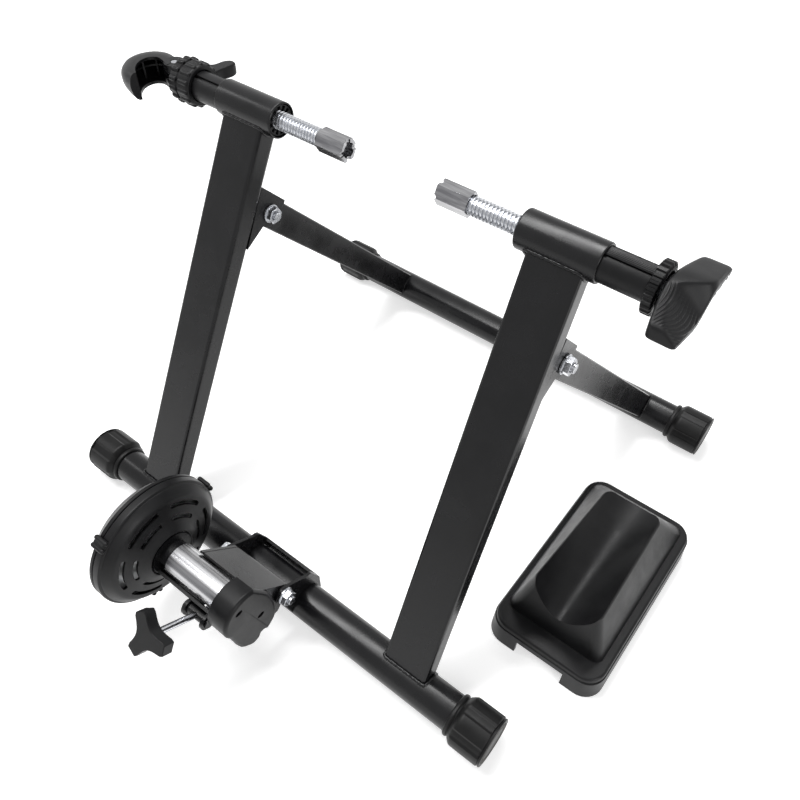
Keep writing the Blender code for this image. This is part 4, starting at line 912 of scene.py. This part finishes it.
def welds():
    for side_name, hand in (("left", -1), ("right", 1)):
        weld("weld_foot_" + side_name, "upright_" + side_name, saddle(
            MAIN_AXIS, hand * UPRIGHT_FOOT_X, UP_ALONG, BEHIND, UPRIGHT_WIDTH / 2,
            UPRIGHT_DEPTH / 2, TUBE_RADIUS, 1), 0.0016)
        weld("weld_head_" + side_name, "upright_" + side_name, saddle(
            on_axle(0), hand * UPRIGHT_HEAD_X, UP_ALONG, BEHIND, UPRIGHT_WIDTH / 2,
            UPRIGHT_DEPTH / 2, BARREL_RADIUS, -1), 0.0015)
        pivot = middle("pivot_" + side_name + "_bolt")
        pivot.x = REAR_AXIS.x
        along = (REAR_AXIS - pivot).normalized()
        above = Vector((0, -along.z, along.y))
        weld("weld_leg_" + side_name, "leg_" + side_name, saddle(
            REAR_AXIS, hand * LEG_FOOT_X, along, above, LEG_WIDTH / 2, LEG_DEPTH / 2,
            TUBE_RADIUS, -1))


# Resistance unit

HOUSING_HOLE_RADIUS = 0.0217
HOUSING_FACE = -0.0520
HOUSING_SEAM = -0.0765
HOUSING_BACK = -0.0925
HOUSING_RADIUS = 0.0630
HOUSING_SEGMENTS = 120
VENT_GROUPS = 6
VENT_FIRST = 46
VENTS = ((0.0328, 0.0366, 18), (0.0443, 0.0486, 20))
CLIP_ANGLES = (132, 12, 252)


def round_roller(x, radius, degrees):
    angle = math.radians(degrees)
    return Vector((MAIN_AXIS.x + x, ROLLER_AXIS.y + radius * math.cos(angle),
                   ROLLER_AXIS.z + radius * math.sin(angle)))


def about_x(centre, x, radius, angle):
    return centre + Vector((x, radius * math.cos(angle), radius * math.sin(angle)))


def housing_ring(profile):
    """A profile that ends where it begins, turned about the roller's axis."""
    centre = round_roller(0, 0, 0)
    shape = bmesh.new()
    skin(shape, [[about_x(centre, x, radius, angle) for angle in round_turn(HOUSING_SEGMENTS)]
                 for x, radius in profile + profile[:1]], False, False)
    bmesh.ops.remove_doubles(shape, verts=shape.verts, dist=0.00001)
    return shape


def housing_front():
    """Cone-shaped cover with a rolled hole, arc vents and a stepped rim."""
    outer = between([(HOUSING_HOLE_RADIUS, -0.0004)] + mm(
        (22.4, 0.3), (23.5, 0), (26.2, -1.4), (30, -3.4), (36, -5.8), (42, -7.5), (48, -8.7),
        (53, -9.6), (56, -11.6), (58.5, -14), (60.4, -16)), 3)
    profile = [(x + HOUSING_FACE, radius) for radius, x in outer]
    profile += [
        (HOUSING_FACE - 0.0166, 0.0606), (HOUSING_FACE - 0.0169, 0.0620),
        (HOUSING_FACE - 0.0175, 0.0628), (HOUSING_FACE - 0.0185, HOUSING_RADIUS),
        (HOUSING_SEAM + 0.0010, HOUSING_RADIUS), (HOUSING_SEAM + 0.0004, HOUSING_RADIUS - 0.0005),
        (HOUSING_SEAM + 0.0003, HOUSING_RADIUS - 0.0022)]
    inner = [(x + HOUSING_FACE - 0.0022, radius) for radius, x in outer[3:-3:2]]
    profile += [(HOUSING_FACE - 0.0190, 0.0600)] + list(reversed(inner))
    profile += [(HOUSING_FACE - 0.0026, HOUSING_HOLE_RADIUS)]
    shape = housing_ring(profile)
    for group in range(VENT_GROUPS):
        place = VENT_FIRST + 360 / VENT_GROUPS * group
        for low, high, span in VENTS:
            half = (high - low) / 2
            points = []
            for radius, side, turn in ((high, span, 0), (low, -span, 180)):
                points += [round_roller(0, radius, place - side + side * step / 6)
                           for step in range(13)]
                end = round_roller(0, high - half, place + side)
                points += [about_x(end, 0, half, math.radians(place + side + turn + step))
                           for step in (36, 72, 108, 144)]
            slot = solid([[point + Vector((x, 0, 0)) for point in points]
                          for x in (HOUSING_FACE - 0.016, HOUSING_FACE + 0.004)])
            shape = combined(shape, slot, "DIFFERENCE")
    stand_in("housing_front_cover", tidy(shape), "housing_front", sharp=30)


def housing_back():
    """Closed dish with a stepped rim, a ring groove, a centre boss and stiffening ribs."""
    rim = HOUSING_RADIUS
    seam = HOUSING_SEAM - 0.0004
    profile = [
        (seam, rim - 0.0022), (seam, rim - 0.0005), (seam - 0.0006, rim), (seam - 0.0030, rim),
        (seam - 0.0034, rim - 0.0004), (seam - 0.0038, rim - 0.0014), (seam - 0.0042, rim - 0.0016)]
    profile += [(HOUSING_BACK + rise, radius) for rise, radius in mm(
        (3, 52.2), (1, 50.6), (0, 48.6), (0, 40), (1, 39.2), (1, 38), (0, 37.2), (0, 16),
        (1.2, 15), (1.2, 12), (0, 11), (0, 3), (2.2, 3), (2.2, 40), (4, 49.5))]
    profile.append((seam - 0.0040, rim - 0.0050))
    stand_in("housing_back_dish", tidy(housing_ring(profile)), "housing_back", sharp=30)
    ribs = bmesh.new()
    for index in range(12):
        degrees = 30 * index + 15
        inner = round_roller(HOUSING_BACK + 0.0002, 0.0170, degrees)
        outer = round_roller(HOUSING_BACK + 0.0002, 0.0360, degrees)
        bead(ribs, [inner + (outer - inner) * (step / 6) for step in range(7)], 0.0010)
    add_piece("housing_back_ribs", tidy(ribs), "housing_back", sharp=60)


def capsule(shape, start, end, radius):
    length = (end - start).length
    profile = [(0.0, radius * 0.3), (radius * 0.12, radius * 0.65), (radius * 0.5, radius * 0.93),
               (radius, radius), (length - radius, radius), (length - radius * 0.5, radius * 0.93),
               (length - radius * 0.12, radius * 0.65), (length, radius * 0.3)]
    turned(shape, start, end - start, profile, 16)


def clips():
    """Each joint of the two halves: two ribs and a sunk screw, hugging the rim."""
    for number, degrees in enumerate(CLIP_ANGLES, start=1):
        node = "housing_clip_" + str(number)
        shape = bmesh.new()
        for offset, back, front, proud, radius in (
                (-3.1, 0.0060, 0.0088, 0.0019, 0.0023), (3.1, 0.0060, 0.0088, 0.0019, 0.0023),
                (0.0, 0.0052, 0.0076, 0.0011, 0.0026)):
            reach = HOUSING_RADIUS + proud
            capsule(shape, round_roller(HOUSING_SEAM - back, reach, degrees + offset),
                    round_roller(HOUSING_SEAM + front, reach - 0.0002, degrees + offset), radius)
        stand_in(node + "_boss", tidy(shape), node, sharp=40)


CAP_RIM_RADIUS = 0.0250
CAP_RIM_FIRST = 60
CAP_RIM_LAST = 214
CAP_TAIL = mm(
    (-18, -30), (-14.5, -42), (-9, -49), (-3, -54), (5, -53), (8, -49), (12, -50), (15, -53),
    (25, -46), (27.5, -38), (28.5, -20), (25, -2), (18, 12))
CAP_HOLES = mm((-7.6, 13), (11.5, -20))


def inward(points, distance):
    """The closed outline moved inwards, square to its sides."""
    count = len(points)
    area = sum(points[i][0] * points[(i + 1) % count][1] - points[(i + 1) % count][0] * points[i][1]
               for i in range(count))
    hand = 1 if area > 0 else -1
    moved = []
    for index in range(count):
        before = Vector(points[index - 1])
        point = Vector(points[index])
        after = Vector(points[(index + 1) % count])
        first = (point - before).normalized()
        second = (after - point).normalized()
        square = Vector((-first.y - second.y, first.x + second.x)) * hand
        square.normalize()
        lean = max(square.dot(Vector((-first.y, first.x)) * hand), 0.5)
        moved.append(tuple(point + square * (distance / lean)))
    return moved


def cap_ring(x, points):
    return [Vector((x, ROLLER_AXIS.y + y, ROLLER_AXIS.z + z)) for y, z in points]


def end_cap():
    """Moulded cover with a full-round rim, two oval holes and a notched tail."""
    low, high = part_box("end_cap")
    turns = [math.radians(angle) for angle in range(CAP_RIM_FIRST, CAP_RIM_LAST + 1, 4)]
    outline = [(CAP_RIM_RADIUS * math.cos(turn), CAP_RIM_RADIUS * math.sin(turn))
               for turn in turns]
    outline += between(CAP_TAIL, 2)
    face = high.x
    skirt = MAIN_AXIS.x + 0.0377
    rings = []
    for x, inset in ((skirt, 0.0004), (skirt, 0.0), (skirt + 0.0008, 0.0), (face - 0.0021, 0.0002),
                     (face - 0.0014, 0.0006), (face - 0.0008, 0.0012), (face - 0.0003, 0.0021),
                     (face, 0.0034)):
        rings.append(cap_ring(x, inward(outline, inset)))
    shape = solid(rings)
    for along, above in CAP_HOLES:
        ring = [(along + 0.0038 * math.cos(angle), above + 0.0025 * math.sin(angle))
                for angle in round_turn(24)]
        oval = solid([cap_ring(x, ring) for x in (skirt + 0.0006, face + 0.001)])
        shape = combined(shape, oval, "DIFFERENCE")
    wall = []
    for turn in turns:
        spoke = Vector((0, math.cos(turn), math.sin(turn)))
        centre = Vector((0, ROLLER_AXIS.y, ROLLER_AXIS.z))
        section = [(skirt + 0.0010, 0.0210), (skirt + 0.0010, 0.0249), (low.x + 0.0012, 0.0247),
                   (low.x + 0.0003, 0.0242), (low.x, 0.0232), (low.x, 0.0214),
                   (low.x + 0.0006, 0.0210)]
        wall.append([centre + spoke * radius + Vector((x, 0, 0)) for x, radius in section])
    stand_in("end_cap_face", tidy(shape), "end_cap", sharp=34)
    add_piece("end_cap_wall", solid(wall), "end_cap", sharp=34)


KNOB_SHARE = 0.76


def tension_knob():
    """The knob's own outline, thinner between its faces and well rounded at its edges."""
    shape = copied("tension_knob")
    joint = next(
        item for item in frame["record"]["behaviour"]["joints"] if item["name"] == "knob_turn")
    along = Vector(joint["axis"]).normalized()
    reaches = [vert.co.dot(along) for vert in shape.verts]
    half_way = (min(reaches) + max(reaches)) / 2
    for vert in shape.verts:
        vert.co += along * (half_way - vert.co.dot(along)) * (1 - KNOB_SHARE)
    rounded_edges(shape, 0.0011, 3, 35)
    stand_in("tension_knob_skin", tidy(shape), "tension_knob", sharp=50)


# Riser block

RISER = middle("riser_block")
RISER_WIDTH = 0.1146
RISER_LENGTH = 0.2052
RISER_BASE = 0.0300
RISER_FRONT = 0.0855
RISER_BACK = 0.0680
DOME_SHIFT = -0.0014
DOME_CORNER = 0.0090
RISER_WALL = 0.0030
SIDE_SHELF = 0.0092
FRONT_SHELF = 0.0216
BACK_SHELF = 0.0086
TOP_HALF_FRONT = 0.0335
TOP_HALF_BACK = 0.0300
FRONT_SLOPE = 0.12
BACK_SLOPE = 0.74
CAVITY_TOP = 0.0515
FOOT_HALF = RISER_WIDTH / 2 - SIDE_SHELF
FOOT_FRONT = -RISER_LENGTH / 2 + FRONT_SHELF
FOOT_BACK = RISER_LENGTH / 2 - BACK_SHELF
DOME_FRONT = FOOT_FRONT + FRONT_SLOPE * (RISER_FRONT - RISER_BASE)
DOME_BACK = FOOT_BACK - BACK_SLOPE * (RISER_BACK - RISER_BASE)
TROUGH_FRONT = (0.0322, 0.0300)
TROUGH_BACK = (0.0272, 0.0040)


def rounded_rectangle(half_front, half_back, front, back, corner, height_at, shift=0.0, steps=8):
    points = []
    for cx, cy, first in ((-half_front + corner, front + corner, 180),
                          (half_front - corner, front + corner, 270),
                          (half_back - corner, back - corner, 0),
                          (-half_back + corner, back - corner, 90)):
        for step in range(steps + 1):
            angle = math.radians(first + 90 * step / steps)
            x = cx + corner * math.cos(angle)
            y = cy + corner * math.sin(angle)
            points.append(Vector((RISER.x + shift + x, RISER.y + y, height_at(y))))
    return points


def base_ring(z, inset, corner):
    """The base's outline at one height, moved inwards by inset."""
    half = RISER_WIDTH / 2 - inset
    return rounded_rectangle(half, half, -RISER_LENGTH / 2 + inset, RISER_LENGTH / 2 - inset,
                             corner, lambda y: z)


def dome_ring(front_half, back_half, front, back, corner, height_at):
    return rounded_rectangle(front_half, back_half, front, back, corner, height_at, DOME_SHIFT)


def riser_top(y):
    share = (y - DOME_FRONT) / (DOME_BACK - DOME_FRONT)
    return RISER_FRONT + (RISER_BACK - RISER_FRONT) * share


def riser_dome():
    rings = [dome_ring(FOOT_HALF, FOOT_HALF, FOOT_FRONT, FOOT_BACK, DOME_CORNER,
                       lambda y, z=z: z) for z in (0.0150, RISER_BASE)]
    for drop, inset in mm((2.6, 0), (1.7, 0.3), (0.8, 1), (0.2, 1.9), (0, 2.8)):
        rings.append(dome_ring(
            TOP_HALF_FRONT - inset, TOP_HALF_BACK - inset, DOME_FRONT + inset,
            DOME_BACK - inset, DOME_CORNER - inset * 0.7, lambda y, drop=drop: riser_top(y) - drop))
    return solid(rings)


def riser_trough():
    rings = []
    for step in range(13):
        share = -0.2 + 1.3 * step / 12
        y = DOME_FRONT + (DOME_BACK - DOME_FRONT) * share
        half, depth = (first + (last - first) * share
                       for first, last in zip(TROUGH_FRONT, TROUGH_BACK))
        top = riser_top(y)
        ring = []
        for index in range(49):
            side = -1 + index / 24
            ring.append(Vector((RISER.x + DOME_SHIFT + half * side, RISER.y + y,
                                top - depth * (1 - side * side))))
        ring.append(Vector((RISER.x + DOME_SHIFT + half, RISER.y + y, top + 0.07)))
        ring.append(Vector((RISER.x + DOME_SHIFT - half, RISER.y + y, top + 0.07)))
        rings.append(ring)
    return solid(rings)


def riser():
    """Base with a drawn-in upper step, a dome with the wheel's trough, hollow from below."""
    base = solid([base_ring(*row) for row in mm(
        (0, 0.6, 18.5), (0.6, 0, 19), (23.6, 1.2, 18.5), (24.2, 1.5, 18.4), (24.4, 2.2, 18),
        (25, 2.2, 18), (27.8, 2.4, 18), (29, 2.9, 17.6), (29.7, 3.7, 17), (30, 5, 16))])
    shape = combined(base, riser_dome(), "UNION")
    shape = combined(shape, riser_trough(), "DIFFERENCE")
    wall = RISER_WALL
    hollow = solid([base_ring(z, wall + lean, 0.016) for z, lean in mm((-10, 0), (27, 2))])
    shape = combined(shape, hollow, "DIFFERENCE")
    foot = FOOT_HALF - wall
    front = FOOT_FRONT + wall
    back = FOOT_BACK - wall
    rise = CAVITY_TOP - RISER_BASE
    narrow_front = foot + (TOP_HALF_FRONT - wall - foot) * rise / (RISER_FRONT - RISER_BASE)
    narrow_back = foot + (TOP_HALF_BACK - wall - foot) * rise / (RISER_BACK - RISER_BASE)
    inner = solid([
        dome_ring(foot, foot, front, back, 0.006, lambda y: 0.018),
        dome_ring(foot, foot, front, back, 0.006, lambda y: RISER_BASE),
        dome_ring(narrow_front, narrow_back, front + FRONT_SLOPE * rise,
                  back - BACK_SLOPE * rise, 0.006, lambda y: CAVITY_TOP)])
    shape = combined(shape, inner, "DIFFERENCE")
    shape = combined(shape, box_shape(
        (RISER.x - 0.024, RISER.y - RISER_LENGTH, -0.001),
        (RISER.x + 0.024, RISER.y - RISER_LENGTH / 2 + FRONT_SHELF, 0.018)), "DIFFERENCE")
    rounded_edges(shape, 0.0009, 3, 34)
    stand_in("riser_block_shell", tidy(shape), "riser_block", sharp=26)


add_camera()

CUP_BACKS = {
    -1: MAIN_AXIS.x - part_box("left_axle_cup")[0].x, 1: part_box("right_axle_cup")[1].x - MAIN_AXIS.x}

for cap_node, cap_hand, cap_turn in (
        ("main_cap_left", -1, 25), ("main_cap_right", 1, -5), ("rear_cap_left", -1, 10),
        ("rear_cap_right", 1, 12)):
    foot_cap(cap_node, cap_hand, cap_turn)
barrel("barrel_left", -1)
barrel("barrel_right", 1)
sleeve("left_sleeve", -1, False)
sleeve("right_sleeve", 1, True)
clamp_screw("left_clamp_screw", -1, 0.185)
clamp_screw("right_clamp_screw", 1, 0.205)
for cup_node in ("left_axle_cup", "right_axle_cup"):
    eased(cup_node, width=0.0009, segments=3, angle=25, name="_cup", sharp=50)
handle()
lever()
ring_nut()
lock_ring()
welds()
housing_front()
housing_back()
clips()
end_cap()
riser()
tension_knob()

for node_name in sorted(NODES):
    if node_name not in MADE:
        eased(node_name)


# Studio

def add_area(name, place, aim, size, power):
    data = bpy.data.lights.new(name, "AREA")
    data.shape = "RECTANGLE"
    data.size, data.size_y = size
    data.energy = power
    lamp = placed(name, data)
    lamp.location = place
    lamp.rotation_euler = (Vector(aim) - Vector(place)).to_track_quat("-Z", "Y").to_euler()


def when_seen(tree, otherwise, seen):
    """The value seen for rays from the camera or in metal and glass, the other for the rest."""
    path = tree.nodes.new("ShaderNodeLightPath")
    share = path.outputs["Is Camera Ray"]
    for kind in ("Is Glossy Ray", "Is Transmission Ray"):
        larger = tree.nodes.new("ShaderNodeMath")
        larger.operation = "MAXIMUM"
        tree.links.new(share, larger.inputs[0])
        tree.links.new(path.outputs[kind], larger.inputs[1])
        share = larger.outputs["Value"]
    values = {"To Min": otherwise, "To Max": seen}
    return add_node(tree, "MapRange", values, {"Value": share}).outputs["Result"]


FLOOR_HALF_SIZE = 6.0


def add_floor():
    """A matt floor that keeps the shadow and is lifted to white for the camera alone."""
    shape = bmesh.new()
    bmesh.ops.create_grid(shape, x_segments=1, y_segments=1, size=FLOOR_HALF_SIZE)
    mesh = as_mesh("floor", shape)
    made, tree, shader = start_material("floor", (0.80, 0.80, 0.80), 0.9)
    fill(shader, {"Specular IOR Level": 0.0, "Emission Color": (1, 1, 1, 1)})
    tree.links.new(when_seen(tree, 0.0, 0.58), shader.inputs["Emission Strength"])
    mesh.materials.append(made)
    floor = placed("floor", mesh)
    floor.location = (0, 0, -0.0005)


def add_world(light, shown):
    """Even light on the object, and a white surround for the camera and for reflections."""
    world = bpy.data.worlds.new("studio")
    bpy.context.scene.world = world
    world.use_nodes = True
    tree = world.node_tree
    background = tree.nodes["Background"]
    background.inputs["Color"].default_value = (1, 1, 1, 1)
    tree.links.new(when_seen(tree, light, shown), background.inputs["Strength"])


add_world(light=0.30, shown=1.0)
add_floor()
add_area("key", (-0.45, 0.15, 2.1), (0, 0, 0.15), (2.4, 0.30), 50)
add_area("right", (1.8, -0.5, 0.9), (0, 0, 0.2), (0.7, 0.8), 10)
add_area("left", (-1.6, -0.4, 1.3), (0, 0, 0.15), (0.3, 0.9), 5)

scene = bpy.context.scene
scene.view_settings.view_transform = "Standard"
